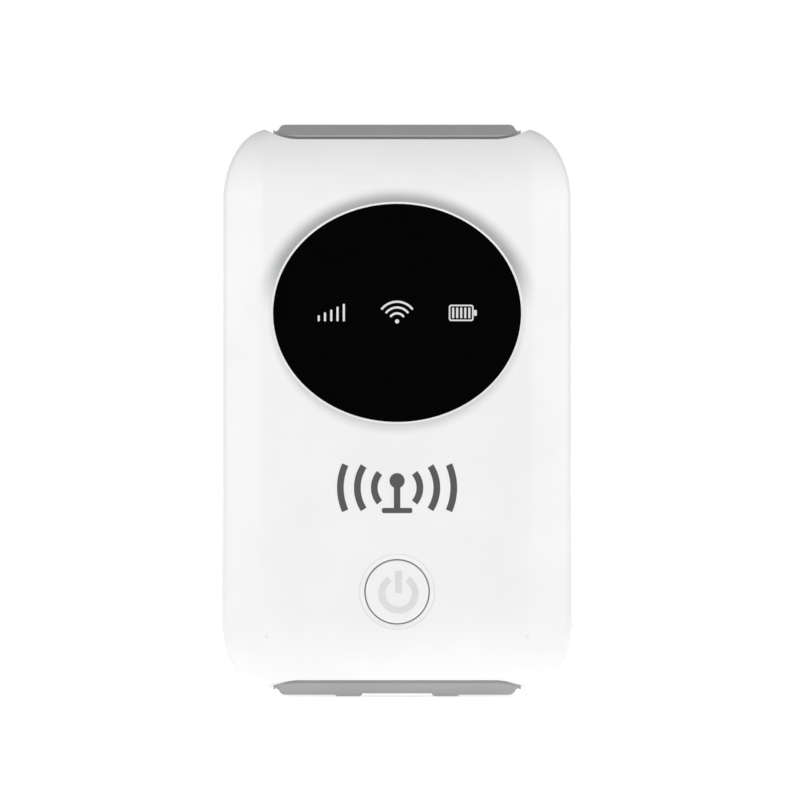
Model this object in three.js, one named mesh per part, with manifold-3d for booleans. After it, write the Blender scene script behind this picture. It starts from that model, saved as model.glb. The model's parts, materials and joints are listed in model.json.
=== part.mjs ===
// Pocket mobile hotspot: a glossy white front shell and rear cover round a grey middle frame, an oval
// display window, a power key, a circuit board and a removable battery.
// Millimetres. X runs to the right seen from the front, Y runs to the back and Z is up. The origin is
// under the middle of the case, level with the two feet of the lower end bar.

import * as THREE from "three";
import { ConvexGeometry } from "three/addons/geometries/ConvexGeometry.js";
import { mergeVertices } from "three/addons/utils/BufferGeometryUtils.js";
import Module from "manifold-3d";

const wasm = await Module();
wasm.setup();

// ---- Case ----
const caseWidth = 60;
const caseHeight = 98;
const caseDepth = 15;
const cornerWidth = 8.3; // half-axes of the elliptical corners, seen from the front
const cornerHeight = 12.4;
const frontRoll = 5.6; // depth over which the front face rounds into the sides
const backRoll = 4.6;
const frontWall = 1.5;
const backWall = 1.2;
const seamDrop = 0.2; // the front shell's rim ends this far in front of the frame's floor
const seamGap = 0.25;
const fitGap = 0.05; // between pieces that are stuck, soldered or laid on each other
const past = 1; // how far a cut runs past the face that it opens

// ---- Facets ----
const cornerSteps = 7; // in a quarter turn of a corner
const ovalSteps = 56; // round the display window
const roundSteps = 32; // round a button or a boss
const smallSteps = 16; // round a screw or a plunger

// ---- End bars of the middle frame ----
const barRise = 0.7; // height over the ends of the white shells
const footRise = 0.26;
const footInner = 6;
const footOuter = 10.7;
const footBevel = 0.45;
const footDepth = 5;
const portRecess = 0.24;
const notchDepth = 1.85; // how far the notch for a bar goes into the end of the shells
const hornMargin = 7.2; // from the side of the case to the notch
const rampRun = 4; // length of the ramp down to the notch's floor
const rampBlend = 2.2;
const barGap = 0.42;
const barEndMargin = 1.96; // from the end of the notch to the bar, at its base
const barTaper = 0.84;
const barCornerRound = 0.9;
const barEdge = 0.3; // height of the upright edge under the sloped faces
const barSlope = 2.1; // depth of the sloped faces
const barInset = 0.25; // how far the bar's edges sit inside the shells' surface
const neckMargin = 0.4;
const neckClearance = 0.65;

// ---- Middle frame ----
const frameClearance = 0.4;
const frameBoardGap = 0.4;
const frameRecess = 1.3; // the frame's rim ends this far in front of the battery's back
const frameSideWall = 2.8;
const floorClearance = 0.35;
const floorThickness = 0.8;
const endWall = 2.4;
const ribThickness = 1.2;
const bayClearance = 0.3;

// ---- Display ----
const lensWidth = 42.4;
const lensHeight = 37.3;
const lensThickness = 0.9;
const lensDrop = 32.3; // from the top of the case to the middle of the lens
const lensClearance = 0.15;
const lensLip = 0.3; // flat rim of the shell round the lens
const dishDepth = 0.9;
const dishSide = 1.8; // width of the dished recess at the sides of the lens
const dishEnd = 2.25; // and above and below it
const dishRise = 0.8; // the dish's outer oval sits higher than the lens
const tapeThickness = 0.2;
const tapeWidth = 2;
const ledgeWidth = 2.5;
const ledgeThickness = 0.8;
const ledgeMargin = 1.8;
const iconMargin = 10; // from the ends of the lens to the outer icons
const chamberWall = 3.2;
const chamberHeight = 6;
const diffuserMargin = 0.3;
const diffuserHeight = 8;
const guideFlange = 1;
const guideHeight = 13;
const guideThickness = 2;
const guideTowerWall = 1.8;
const guideEndMargin = 4.2; // from the ends of the lens to the guide's tower
const guideTowerHeight = 9;
const ledWidth = 1.6;
const ledHeight = 0.8;
const ledThickness = 0.6;

// ---- Power button ----
const buttonZ = 18;
const buttonRadius = 5.4;
const buttonClearance = 0.2;
const buttonFaceDepth = 0.05;
const buttonFlange = 1.2;
const buttonFlangeThickness = 0.7;
const buttonFlangeGap = 0.25;
const buttonStemRadius = 1.6;
const buttonKeyWidth = 2;
const buttonKeyReach = 1.8;
const keyRailDepth = 1;
const mouthWidth = 0.8; // chamfer round the button hole
const mouthDepth = 0.35;
const edgeRound = 0.25;

// ---- Circuit board ----
const boardThickness = 1;
const boardInset = 3.4; // inside the outline of the shells
const boardEndGap = 0.9;
const boardTabHalf = 6;
const boardPlay = 1.4; // from what stands on the board to the frame's side wall
const shieldHeight = 1.6;
const shieldSheet = 0.2;
const shieldVent = 1.4;
const shieldVentPitch = 5;
const shieldVentEdge = 2;
const shieldGap = 2.6;
const shieldMiddle = 2; // from the centre line to the left column of shields
const radioShift = 1.5;
const basebandShieldHeight = 24;
const radioShieldHeight = 15;
const wifiShieldHeight = 13;
const wifiShieldWidth = 19;
const wifiShift = 1; // the Wi-Fi shield's middle, towards the centre line
const chipThickness = 0.9;
const chipBevel = 0.12;
const basebandChipSize = 12;
const basebandChipRise = 5; // over the middle of the shield
const memoryChipWidth = 10;
const memoryChipHeight = 8;
const memoryChipDrop = 7;
const powerChipSize = 6;
const powerChipRise = 2; // over the middle of the Wi-Fi shield
const radioChipSize = 7.5;
const wifiChipSize = 8;
const switchSize = 4.5;
const switchHeight = 1.1;
const switchFloor = 0.2;
const plungerRadius = 0.9;
const plungerStand = 0.5;
const plungerPlay = 0.1;
const resetSize = 3.2;
const resetHeight = 1;
const resetPlungerRadius = 0.7;
const resetPlungerStand = 0.45;
const resetSide = 4.6;
const resetDrop = 2.3; // below the SIM window
const resetHoleRadius = 1.3;

// ---- SIM socket and card ----
const simSocketWidth = 15.5;
const simSocketHeight = 14;
const simSocketThickness = 1.4;
const simSocketLeft = -14.2;
const simDrop = 14.4; // from the top of the case to the middle of the card
const simCardLength = 15;
const simCardWidth = 12;
const simCardThickness = 0.76;
const simCardCorner = 1.8;
const simPlay = 0.1;
const simStop = 1.1;
const simThumbDepth = 5.2;
const simThumbHalf = 3;
const simWindowMargin = 0.5;
const simWindowSide = 5;
const simBayMargin = 4;

// ---- Charging port ----
const portWidth = 7.5;
const portThickness = 2.5;
const portLength = 5;
const portWall = 0.3;
const portPlay = 0.3;
const portStart = 0.4; // mouth of the receptacle, above the recess
const portOverhang = 2;
const tongueWidth = 3.7;
const tongueThickness = 0.7;
const tongueSetback = 0.6;
const tongueBlock = 1.2;

// ---- Battery and its contacts ----
const batteryThickness = 4;
const batteryGap = 0.3; // to the floor of the frame
const batteryCapHeight = 3;
const batterySideSteps = 6;
const terminalSpacing = 2.6;
const terminalWidth = 1.7;
const terminalDepth = 1.8;
const terminalThickness = 0.3;
const connectorWidth = 10.4;
const connectorHeight = 3.4;
const connectorRise = 4.2; // above the charging port
const connectorRoom = 1.2; // the connector's back sits this far in front of the battery's back
const bladeWidth = 0.9;
const bladeDepth = 1.6;
const bladeSink = 2.2;
const bladeStand = 1;
const contactGap = 0.1;

// ---- Screws ----
const screwSide = 7.8;
const screwEnd = 9.4;
const bossRadius = 2.8;
const bossPinRadius = 1.65;
const bossPlay = 0.25;
const screwShankRadius = 0.65;
const screwTipRadius = 0.4;
const screwPlay = 0.15;
const screwHeadRadius = 1.6;
const screwHeadHeight = 0.8;
const screwHeadBevel = 0.25;
const screwLength = 4.6;
const crossWidth = 0.45;
const crossLength = 1.8;
const crossDepth = 0.4;

// ---- Rear cover ----
const clipLength = 8;
const clipThickness = 1;
const clipReach = 1.6;
const clipRoot = 1.4;
const clipPlay = 0.35;
const clipEndMargin = 7.8;
const clipCount = 3; // on each side
const nibRise = 0.18;
const nibHeight = 0.5;
const prySlotBottom = 19.5;
const prySlotLength = 9;
const prySlotDepth = 0.9;
const prySlotHeight = 1.1;
const foamMargin = 5;
const foamThickness = 0.3;

// ---- Antennas ----
const flexThickness = 0.2;
const antennaWidth = 1.6;
const antennaEndMargin = 1.2;
const antennaFold = 3.2;
const antennaBoardGap = 0.1; // least gap between the fold and the board behind it
const diversityLength = 13;
const sideAntennaLength = 30;

// ---- Worked out: depths, from the front face to the back ----
const lensStack = dishDepth + lensThickness + 2 * fitGap + tapeThickness + ledgeThickness;
const boardStack = boardThickness + fitGap + shieldHeight + floorClearance;
const batteryStack = floorThickness + batteryGap + batteryThickness + foamThickness + 2 * fitGap;
const guideRoom = caseDepth - lensStack - boardStack - batteryStack - backWall; // for the light guide
const frontY = -caseDepth / 2;
const backY = caseDepth / 2;
const frontCentreY = frontY + frontRoll;
const backCentreY = backY - backRoll;
const frontInnerY = frontY + frontWall;
const backInnerY = backY - backWall;
const lensFrontY = frontY + dishDepth;
const lensBackY = lensFrontY + lensThickness;
const tapeBackY = lensBackY + 2 * fitGap + tapeThickness;
const ledgeBackY = tapeBackY + ledgeThickness;
const boardFront = ledgeBackY + guideRoom;
const boardBack = boardFront + boardThickness;
const floorFront = boardFront + boardStack;
const floorBack = floorFront + floorThickness;
const batteryFrontY = floorBack + batteryGap;
const batteryMiddleY = batteryFrontY + batteryThickness / 2;
const batteryBackY = batteryFrontY + batteryThickness;
const frameFront = boardBack + frameBoardGap;
const frameBack = batteryBackY - frameRecess;
const seamY = floorFront - seamDrop;
const coverFront = seamY + seamGap;
const portMiddleY = boardBack + fitGap + portThickness / 2;

// ---- Worked out: outlines, seen from the front ----
const halfWidth = caseWidth / 2;
const shellTop = caseHeight - barRise;
const shellBottom = footRise + barRise;
const middleZ = (shellTop + shellBottom) / 2;
const halfHeight = (shellTop - shellBottom) / 2;
const flatX = halfWidth - cornerWidth;
const flatZ = halfHeight - cornerHeight;
const notchFloor = halfHeight - notchDepth; // distance from the middle of the case
const barTop = halfHeight + barRise;
const hornX = halfWidth - hornMargin;
const rampX = hornX - rampRun;
const barBaseHalf = hornX - barEndMargin;
const barTopHalf = barBaseHalf - barTaper;
const neckHalf = rampX - rampBlend - neckMargin;
const frameInset = Math.max(frontWall, backWall) + frameClearance;
const bayInset = frameInset + frameSideWall;
const bayHalf = halfWidth - bayInset;
const bayEnd = notchFloor - endWall;
const boardHalf = bayEnd - boardEndGap;
const boardRoom = bayHalf - boardPlay; // half width that parts on the board can use
const lensZ = caseHeight - lensDrop;
const iconSpacing = lensWidth / 2 - iconMargin;
const chamberHalf = (iconSpacing - chamberWall) / 2;
const guideTowerHalf = lensWidth / 2 - guideEndMargin;
const chambersEnd = guideTowerHalf - guideTowerWall;
const diffuserWidth = 2 * (chambersEnd + diffuserMargin);
const guideWidth = 2 * (guideTowerHalf + guideFlange);
const buttonHole = buttonRadius + buttonClearance;
const buttonFlangeRadius = buttonRadius + buttonFlange;
const simZ = caseHeight - simDrop;
const simWindowBottom = simZ - simSocketHeight / 2 - simWindowMargin;
const resetX = resetSide - boardRoom;
const resetZ = simWindowBottom - resetDrop;
const portMouthZ = footRise + portRecess + portStart;
const connectorBottom = portMouthZ + portLength + connectorRise;
const connectorTop = connectorBottom + connectorHeight;
const batteryWidth = 2 * (bayHalf - bayClearance);
const batteryBottom = connectorTop + bladeStand + contactGap;
const batteryTop = simWindowBottom - simBayMargin - ribThickness - bayClearance;
const batteryHeight = batteryTop - batteryBottom;
const batteryZ = (batteryTop + batteryBottom) / 2;
const screwX = halfWidth - screwSide;
const screwW = halfHeight - screwEnd;
const large = 2 * (caseWidth + caseHeight); // longer than any cut needs

// ---- Finishes ----
const finishes = {
  glossWhite: { color: 0xf4f5f5, roughness: 0.18, metalness: 0 },
  satinWhite: { color: 0xefefef, roughness: 0.35, metalness: 0 },
  matteGrey: { color: 0x9c9c9c, roughness: 0.55, metalness: 0 },
  blackWindow: { color: 0x030303, roughness: 0.08, metalness: 0 },
  blackPlastic: { color: 0x161616, roughness: 0.6, metalness: 0 },
  tape: { color: 0x202020, roughness: 0.9, metalness: 0 },
  diffuser: { color: 0xe9ecee, roughness: 0.7, metalness: 0 },
  ledWhite: { color: 0xf5f2d8, roughness: 0.3, metalness: 0 },
  board: { color: 0x0d4a2c, roughness: 0.45, metalness: 0 },
  chip: { color: 0x1c1c1e, roughness: 0.5, metalness: 0 },
  tinplate: { color: 0xc4c6c8, roughness: 0.3, metalness: 1 },
  gold: { color: 0xd9b25a, roughness: 0.25, metalness: 1 },
  steel: { color: 0x9a9ca0, roughness: 0.3, metalness: 1 },
  simWhite: { color: 0xf1f0ea, roughness: 0.5, metalness: 0 },
  batteryWrap: { color: 0x2b2d31, roughness: 0.5, metalness: 0 },
  foam: { color: 0x3a3a3a, roughness: 0.95, metalness: 0 },
  flex: { color: 0x5b3a16, roughness: 0.5, metalness: 0 },
};

// ---- Helpers ----

function solidOf(geometry) {
  const bare = geometry.clone();
  bare.deleteAttribute("normal");
  bare.deleteAttribute("uv");
  const merged = mergeVertices(bare, 1e-4);
  const vertProperties = merged.attributes.position.array;
  const triVerts = new Uint32Array(merged.index.array);
  return new wasm.Manifold(new wasm.Mesh({ numProp: 3, vertProperties, triVerts }));
}

function geometryOf(solid) {
  const mesh = solid.getMesh();
  const geometry = new THREE.BufferGeometry();
  geometry.setAttribute("position", new THREE.BufferAttribute(mesh.vertProperties, 3));
  geometry.setIndex(new THREE.BufferAttribute(mesh.triVerts, 1));
  geometry.computeVertexNormals();
  return geometry;
}

function addPart(group, name, geometry, finish, x = 0, y = 0, z = 0) {
  const mesh = new THREE.Mesh(geometry, new THREE.MeshStandardMaterial(finishes[finish]));
  mesh.name = name;
  mesh.position.set(x, y, z);
  group.add(mesh);
}

function groupAt(parent, x, y, z) {
  const group = new THREE.Group();
  group.position.set(x, y, z);
  parent.add(group);
  return group;
}

// A box from its two corners, in either order on each axis.
function box([x0, x1], [y0, y1], [z0, z1]) {
  const body = new THREE.BoxGeometry(Math.abs(x1 - x0), Math.abs(y1 - y0), Math.abs(z1 - z0));
  body.translate((x0 + x1) / 2, (y0 + y1) / 2, (z0 + z1) / 2);
  return solidOf(body);
}

// A block between two distances from the middle of the case, towards the top (side 1) or bottom (-1).
function endBlock(side, halfX, depths, [w0, w1]) {
  return box([-halfX, halfX], depths, [middleZ + side * w0, middleZ + side * w1]);
}

function slab(y0, y1) {
  return box([-large, large], [y0, y1], [-large, large]);
}

function polygon(points) {
  return new THREE.Shape(points.map(([a, b]) => new THREE.Vector2(a, b)));
}

function rectangle(width, height) {
  const x = width / 2;
  const z = height / 2;
  const corners = [
    [-x, -z],
    [x, -z],
    [x, z],
    [-x, z],
  ];
  return polygon(corners);
}

// An outline in X and Z, carried through the case from y0 to y1.
function plateGeometry(shape, y0, y1) {
  const settings = { depth: y1 - y0, bevelEnabled: false, curveSegments: cornerSteps };
  const body = new THREE.ExtrudeGeometry(shape, settings);
  body.rotateX(Math.PI / 2);
  body.translate(0, y1, 0);
  return body;
}

function plate(shape, y0, y1) {
  return solidOf(plateGeometry(shape, y0, y1));
}

// A section in Y and Z, carried along X between -halfX and halfX.
function beam(shape, halfX) {
  const body = new THREE.ExtrudeGeometry(shape, { depth: 2 * halfX, bevelEnabled: false });
  const alongY = new THREE.Vector3(0, 1, 0);
  const alongZ = new THREE.Vector3(0, 0, 1);
  const alongX = new THREE.Vector3(1, 0, 0);
  body.applyMatrix4(new THREE.Matrix4().makeBasis(alongY, alongZ, alongX));
  body.translate(-halfX, 0, 0);
  return solidOf(body);
}

// A section in X and Y, carried upwards from z0 to z1.
function column(shape, z0, z1) {
  const settings = { depth: z1 - z0, bevelEnabled: false, curveSegments: batterySideSteps };
  const body = new THREE.ExtrudeGeometry(shape, settings);
  body.translate(0, 0, z0);
  return solidOf(body);
}

// A round bar along Y; its front end may have a radius of its own.
function rodGeometry(radius, y0, y1, steps = roundSteps, frontRadius = radius) {
  const body = new THREE.CylinderGeometry(radius, frontRadius, y1 - y0, steps);
  body.translate(0, (y0 + y1) / 2, 0);
  return body;
}

function rod(radius, y0, y1, x, z, steps = roundSteps, frontRadius = radius) {
  return solidOf(rodGeometry(radius, y0, y1, steps, frontRadius)).translate([x, 0, z]);
}

// A body turned about Y from a profile of radii and depths.
function turned(profile, steps) {
  const points = profile.map(([radius, y]) => new THREE.Vector2(radius, y));
  return solidOf(new THREE.LatheGeometry(points, steps));
}

function ovalPoints(width, height, y, z = 0) {
  const points = [];
  for (let i = 0; i < ovalSteps; i++) {
    const turn = (2 * Math.PI * i) / ovalSteps;
    const x = (width / 2) * Math.cos(turn);
    points.push(new THREE.Vector3(x, y, z + (height / 2) * Math.sin(turn)));
  }
  return points;
}

// An oval plate in the outline of the lens, smaller by `inset` all round.
function lensPlate(inset, y0, y1) {
  const width = lensWidth - 2 * inset;
  const height = lensHeight - 2 * inset;
  return solidOf(new ConvexGeometry([...ovalPoints(width, height, y0), ...ovalPoints(width, height, y1)]));
}

// ---- Shapes that several pieces share ----

// The case's outer form, drawn in evenly by `inset`: flat faces whose rims roll over as ellipsoids.
function pillow(inset) {
  const points = [];
  for (const sideY of [-1, 1]) {
    for (const sideX of [-1, 1]) {
      for (const sideZ of [-1, 1]) {
        points.push(...pillowCorner(inset, sideX, sideY, sideZ));
      }
    }
  }
  return solidOf(new ConvexGeometry(points));
}

function pillowCorner(inset, sideX, sideY, sideZ) {
  const centreY = sideY < 0 ? frontCentreY : backCentreY;
  const roll = (sideY < 0 ? frontRoll : backRoll) - inset;
  const pole = new THREE.Vector3(sideX * flatX, centreY + sideY * roll, middleZ + sideZ * flatZ);
  const points = [pole];
  for (let i = 1; i <= cornerSteps; i++) {
    const tilt = (Math.PI / 2) * (i / cornerSteps);
    const y = centreY + sideY * roll * Math.cos(tilt);
    for (let j = 0; j <= cornerSteps; j++) {
      const turn = (Math.PI / 2) * (j / cornerSteps);
      const x = flatX + (cornerWidth - inset) * Math.sin(tilt) * Math.cos(turn);
      const w = flatZ + (cornerHeight - inset) * Math.sin(tilt) * Math.sin(turn);
      points.push(new THREE.Vector3(sideX * x, y, middleZ + sideZ * w));
    }
  }
  return points;
}

// The case's outline seen from the front, drawn in evenly by `inset`.
function caseOutline(inset) {
  const rx = cornerWidth - inset;
  const rz = cornerHeight - inset;
  const quarter = Math.PI / 2;
  const high = middleZ + flatZ;
  const low = middleZ - flatZ;
  const shape = new THREE.Shape();
  shape.moveTo(flatX + rx, low);
  shape.lineTo(flatX + rx, high);
  shape.absellipse(flatX, high, rx, rz, 0, quarter, false);
  shape.absellipse(-flatX, high, rx, rz, quarter, 2 * quarter, false);
  shape.absellipse(-flatX, low, rx, rz, 2 * quarter, 3 * quarter, false);
  shape.absellipse(flatX, low, rx, rz, 3 * quarter, 4 * quarter, false);
  return shape;
}

// What is left of a quarter ellipse's height at a share of its width.
function ellipseRise(share) {
  return Math.sqrt(1 - Math.min(1, Math.max(0, share)) ** 2);
}

// How far the rolled outer surface has dropped from the face, at a distance w from the middle.
function rollDrop(roll, w) {
  return roll * (1 - ellipseRise((w - flatZ) / cornerHeight));
}

// The depth from the roll's centre that a shell of this wall leaves free inside, level with the notch.
function roomAtNotch(roll, wall) {
  return (roll - wall) * ellipseRise((notchFloor - flatZ) / (cornerHeight - wall));
}

const hornW = flatZ + cornerHeight * ellipseRise((hornX - flatX) / cornerWidth);
const rampSlope = (hornW - notchFloor) / rampRun;
const neckFront = frontCentreY - roomAtNotch(frontRoll, frontWall) + neckClearance;
const neckBack = backCentreY + roomAtNotch(backRoll, backWall) - neckClearance;

function rampAt(x) {
  return notchFloor + rampSlope * (x - rampX);
}

// The notch's lower edge from left to right, raised by `lift`, out to the half width `reach`.
function followNotch(shape, side, reach, lift) {
  const z = (w) => middleZ + side * (w + lift);
  const blendEnd = rampX + Math.min(rampBlend, rampRun / 2);
  const floorEnd = rampX - rampBlend;
  shape.moveTo(-reach, z(rampAt(reach)));
  shape.lineTo(-blendEnd, z(rampAt(blendEnd)));
  shape.quadraticCurveTo(-rampX, z(notchFloor), -floorEnd, z(notchFloor));
  shape.lineTo(floorEnd, z(notchFloor));
  shape.quadraticCurveTo(rampX, z(notchFloor), blendEnd, z(rampAt(blendEnd)));
  shape.lineTo(reach, z(rampAt(reach)));
}

// What both shells leave open at one end, for the bar.
function endNotch(side) {
  const shape = new THREE.Shape();
  const reach = hornX + past;
  const beyond = middleZ + side * large;
  followNotch(shape, side, reach, 0);
  shape.lineTo(reach, beyond);
  shape.lineTo(-reach, beyond);
  return plate(shape, -large, large);
}

function screwPlaces() {
  const places = [];
  for (const [row, sideZ] of Object.entries({ bottom: -1, top: 1 })) {
    for (const [side, sideX] of Object.entries({ left: -1, right: 1 })) {
      places.push({ name: `screw_${row}_${side}`, x: sideX * screwX, z: middleZ + sideZ * screwW });
    }
  }
  return places;
}

// Middles of the rear cover's clips: `side` is -1 or 1, and `inner` is the clip's face towards the frame.
function clipPlaces() {
  const places = [];
  const inner = halfWidth - Math.max(frontWall, backWall) - clipPlay - clipThickness;
  const spacing = (2 * (flatZ - clipEndMargin) - clipLength) / (clipCount - 1);
  for (let i = 0; i < clipCount; i++) {
    const z = middleZ + (i - (clipCount - 1) / 2) * spacing;
    places.push({ side: -1, inner, z }, { side: 1, inner, z });
  }
  return places;
}

// ---- Front shell ----

function frontShell() {
  let shell = pillow(0).intersect(slab(-large, seamY)).subtract(pillow(frontWall));
  const ledge = lensPlate(-lensClearance - ledgeMargin, lensFrontY, ledgeBackY);
  shell = shell.add(ledge.translate([0, 0, lensZ]));
  const bossFront = (frontY + frontInnerY) / 2;
  for (const { x, z } of screwPlaces()) {
    shell = shell.add(rod(bossRadius, bossFront, boardFront - fitGap, x, z));
    shell = shell.add(rod(bossPinRadius, bossFront, floorFront - fitGap, x, z));
    shell = shell.subtract(rod(screwShankRadius + screwPlay, frontInnerY, floorFront, x, z, smallSteps));
  }
  for (const side of [-1, 1]) {
    shell = shell.subtract(endNotch(side));
  }
  shell = shell.subtract(dish().translate([0, 0, lensZ]));
  shell = shell.subtract(lensSeat().translate([0, 0, lensZ]));
  shell = shell.subtract(rod(buttonHole, frontY - past, frontInnerY + past, 0, buttonZ));
  shell = shell.subtract(buttonMouth());
  return shell.add(buttonKeyRail());
}

// The shallow recess that slopes from the front face down to the rim of the lens.
function dish() {
  const width = lensWidth + 2 * dishSide;
  const height = lensHeight + 2 * dishEnd;
  const rim = 2 * (lensClearance + lensLip);
  const above = ovalPoints(width, height, frontY - past, dishRise);
  const outer = ovalPoints(width, height, frontY, dishRise);
  const inner = ovalPoints(lensWidth + rim, lensHeight + rim, lensFrontY);
  return solidOf(new ConvexGeometry([...above, ...outer, ...inner]));
}

// The seat of the lens and the window behind it.
function lensSeat() {
  const seat = lensPlate(-lensClearance, lensFrontY - past, tapeBackY);
  return seat.add(lensPlate(ledgeWidth, lensBackY, ledgeBackY + past));
}

// The chamfer round the button hole, carried on in front of the face.
function buttonMouth() {
  const flare = (mouthWidth / mouthDepth) * past;
  const front = buttonHole + mouthWidth + flare;
  return rod(buttonHole, frontY - past, frontY + mouthDepth, 0, buttonZ, roundSteps, front);
}

// A slotted rail above the button hole that keeps the button from turning.
function buttonKeyRail() {
  const start = buttonZ + buttonFlangeRadius + buttonClearance;
  const back = frontInnerY + buttonFlangeGap + buttonFlangeThickness;
  const slotHalf = buttonKeyWidth / 2 + buttonClearance;
  const railSpan = [start, start + keyRailDepth];
  const rail = box([-buttonKeyWidth, buttonKeyWidth], [frontInnerY - fitGap, back], railSpan);
  return rail.subtract(box([-slotHalf, slotHalf], [frontInnerY, back + past], [start - past, start + large]));
}

// ---- Display ----

function addDisplay(parent) {
  const display = groupAt(parent, 0, 0, lensZ);
  addPart(display, "display_lens", geometryOf(lensPlate(0, lensFrontY, lensBackY)), "blackWindow");

  const tapeFront = lensBackY + fitGap;
  const tapeBack = tapeFront + tapeThickness;
  const tapeHole = lensPlate(lensClearance + tapeWidth, tapeFront - past, tapeBack + past);
  const tape = lensPlate(lensClearance, tapeFront, tapeBack).subtract(tapeHole);
  addPart(display, "lens_adhesive", geometryOf(tape), "tape");

  const film = plateGeometry(rectangle(diffuserWidth, diffuserHeight), tapeFront, tapeBack);
  addPart(display, "icon_diffuser", film, "diffuser");
  addPart(display, "light_guide_block", geometryOf(lightGuide(tapeBack + fitGap)), "blackPlastic");

  const led = new THREE.BoxGeometry(ledWidth, ledThickness, ledHeight);
  const ledY = boardFront - fitGap - ledThickness / 2;
  ["led_signal", "led_wifi", "led_battery"].forEach((name, i) => {
    addPart(display, name, led, "ledWhite", (i - 1) * iconSpacing, ledY, 0);
  });
}

// A flanged block with one light chamber behind each icon.
function lightGuide(front) {
  const back = boardFront - 2 * fitGap;
  let guide = plate(rectangle(guideWidth, guideHeight), back - guideThickness, back);
  guide = guide.add(plate(rectangle(2 * guideTowerHalf, guideTowerHeight), front, back));
  const start = iconSpacing - chamberHalf;
  for (const span of [[-chambersEnd, -start], [-chamberHalf, chamberHalf], [start, chambersEnd]]) {
    const heights = [-chamberHeight / 2, chamberHeight / 2];
    guide = guide.subtract(box(span, [front - past, back + past], heights));
  }
  return guide;
}

// ---- Power button and its switch ----

function addPowerButton(parent) {
  const button = groupAt(parent, 0, 0, buttonZ);
  const switchBack = boardFront - fitGap;
  const switchFront = switchBack - switchHeight;
  const plungerFront = switchFront - plungerStand;
  addPart(button, "power_button", geometryOf(buttonCap(plungerFront - fitGap)), "glossWhite");

  const pocket = rod(plungerRadius + plungerPlay, switchFront - past, switchBack - switchFloor, 0, 0);
  const body = plate(rectangle(switchSize, switchSize), switchFront, switchBack).subtract(pocket);
  addPart(button, "power_switch", geometryOf(body), "tinplate");
  const plungerBack = switchFront + switchHeight / 2 - plungerPlay;
  const plunger = rodGeometry(plungerRadius, plungerFront, plungerBack, smallSteps);
  addPart(button, "power_plunger", plunger, "blackPlastic");
}

// A round cap with a flange behind the shell, a stem down to the switch, and a key against turning.
function buttonCap(stemBack) {
  const face = frontY + buttonFaceDepth;
  const flangeFront = frontInnerY + buttonFlangeGap;
  const flangeBack = flangeFront + buttonFlangeThickness;
  const profile = [
    [0, face],
    [buttonRadius - edgeRound, face],
    [buttonRadius, face + edgeRound],
    [buttonRadius, flangeFront],
    [buttonFlangeRadius, flangeFront],
    [buttonFlangeRadius, flangeBack],
    [buttonStemRadius, flangeBack],
    [buttonStemRadius, stemBack],
    [0, stemBack],
  ];
  const keyHalf = buttonKeyWidth / 2;
  const keyEnd = buttonFlangeRadius + buttonKeyReach;
  const key = box([-keyHalf, keyHalf], [flangeFront, flangeBack], [buttonStemRadius, keyEnd]);
  return turned(profile, roundSteps).add(key);
}

// ---- Circuit board ----

function addBoard(parent) {
  let board = plate(caseOutline(boardInset), boardFront, boardBack);
  board = board.intersect(endBlock(1, large, [-large, large], [-boardHalf, boardHalf]));
  const tab = [portMouthZ + portOverhang, middleZ];
  board = board.add(box([-boardTabHalf, boardTabHalf], [boardFront, boardBack], tab));
  for (const { x, z } of screwPlaces()) {
    board = board.subtract(rod(bossPinRadius + bossPlay, -large, large, x, z, smallSteps));
  }
  addPart(parent, "main_board", geometryOf(board), "board");

  const rear = groupAt(parent, 0, boardBack + fitGap, 0);
  addShieldedChips(rear);
  addResetSwitch(rear);
  addSimSocket(rear);
  addPort(rear);
}

// The board's two columns: a shield and its chips share a middle in X; heights count from the connector.
function boardColumns() {
  const leftWidth = boardRoom - shieldMiddle;
  const leftX = -(boardRoom + shieldMiddle) / 2;
  const radioWidth = boardRoom - shieldMiddle - 2 * radioShift;
  const radioX = boardRoom - radioShift - radioWidth / 2;
  const wifiX = leftX + wifiShift;
  const wifiZ = connectorTop + shieldGap + wifiShieldHeight / 2;
  const basebandZ = wifiZ + wifiShieldHeight / 2 + shieldGap + basebandShieldHeight / 2;
  const radioZ = basebandZ + (basebandShieldHeight - radioShieldHeight) / 2;
  const shields = [
    { name: "baseband_shield", x: leftX, z: basebandZ, width: leftWidth, height: basebandShieldHeight },
    { name: "radio_shield", x: radioX, z: radioZ, width: radioWidth, height: radioShieldHeight },
    { name: "wifi_shield", x: wifiX, z: wifiZ, width: wifiShieldWidth, height: wifiShieldHeight },
  ];
  const chips = [
    squareChip("baseband_chip", leftX, basebandZ + basebandChipRise, basebandChipSize),
    squareChip("power_chip", radioX, wifiZ + powerChipRise, powerChipSize),
    squareChip("radio_chip", radioX, radioZ, radioChipSize),
    squareChip("wifi_chip", wifiX, wifiZ, wifiChipSize),
  ];
  const memory = { width: memoryChipWidth, height: memoryChipHeight };
  chips.push({ name: "memory_chip", x: leftX, z: basebandZ - memoryChipDrop, ...memory });
  return { shields, chips };
}

function squareChip(name, x, z, size) {
  return { name, x, z, width: size, height: size };
}

function addShieldedChips(rear) {
  const { shields, chips } = boardColumns();
  for (const { name, x, z, width, height } of chips) {
    addPart(rear, name, geometryOf(chip(width, height)), "chip", x, 0, z);
  }
  for (const { name, x, z, width, height } of shields) {
    addPart(rear, name, geometryOf(shield(width, height)), "tinplate", x, 0, z);
  }
}

// A moulded chip whose rear rim is chamfered.
function chip(width, height) {
  const bevel = { bevelSize: chipBevel, bevelThickness: chipBevel, bevelSegments: 1 };
  const face = rectangle(width - 2 * chipBevel, height - 2 * chipBevel);
  const body = new THREE.ExtrudeGeometry(face, { depth: chipThickness, ...bevel });
  body.rotateX(-Math.PI / 2);
  body.translate(0, -chipBevel, 0);
  return solidOf(body).intersect(slab(0, chipThickness));
}

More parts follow.
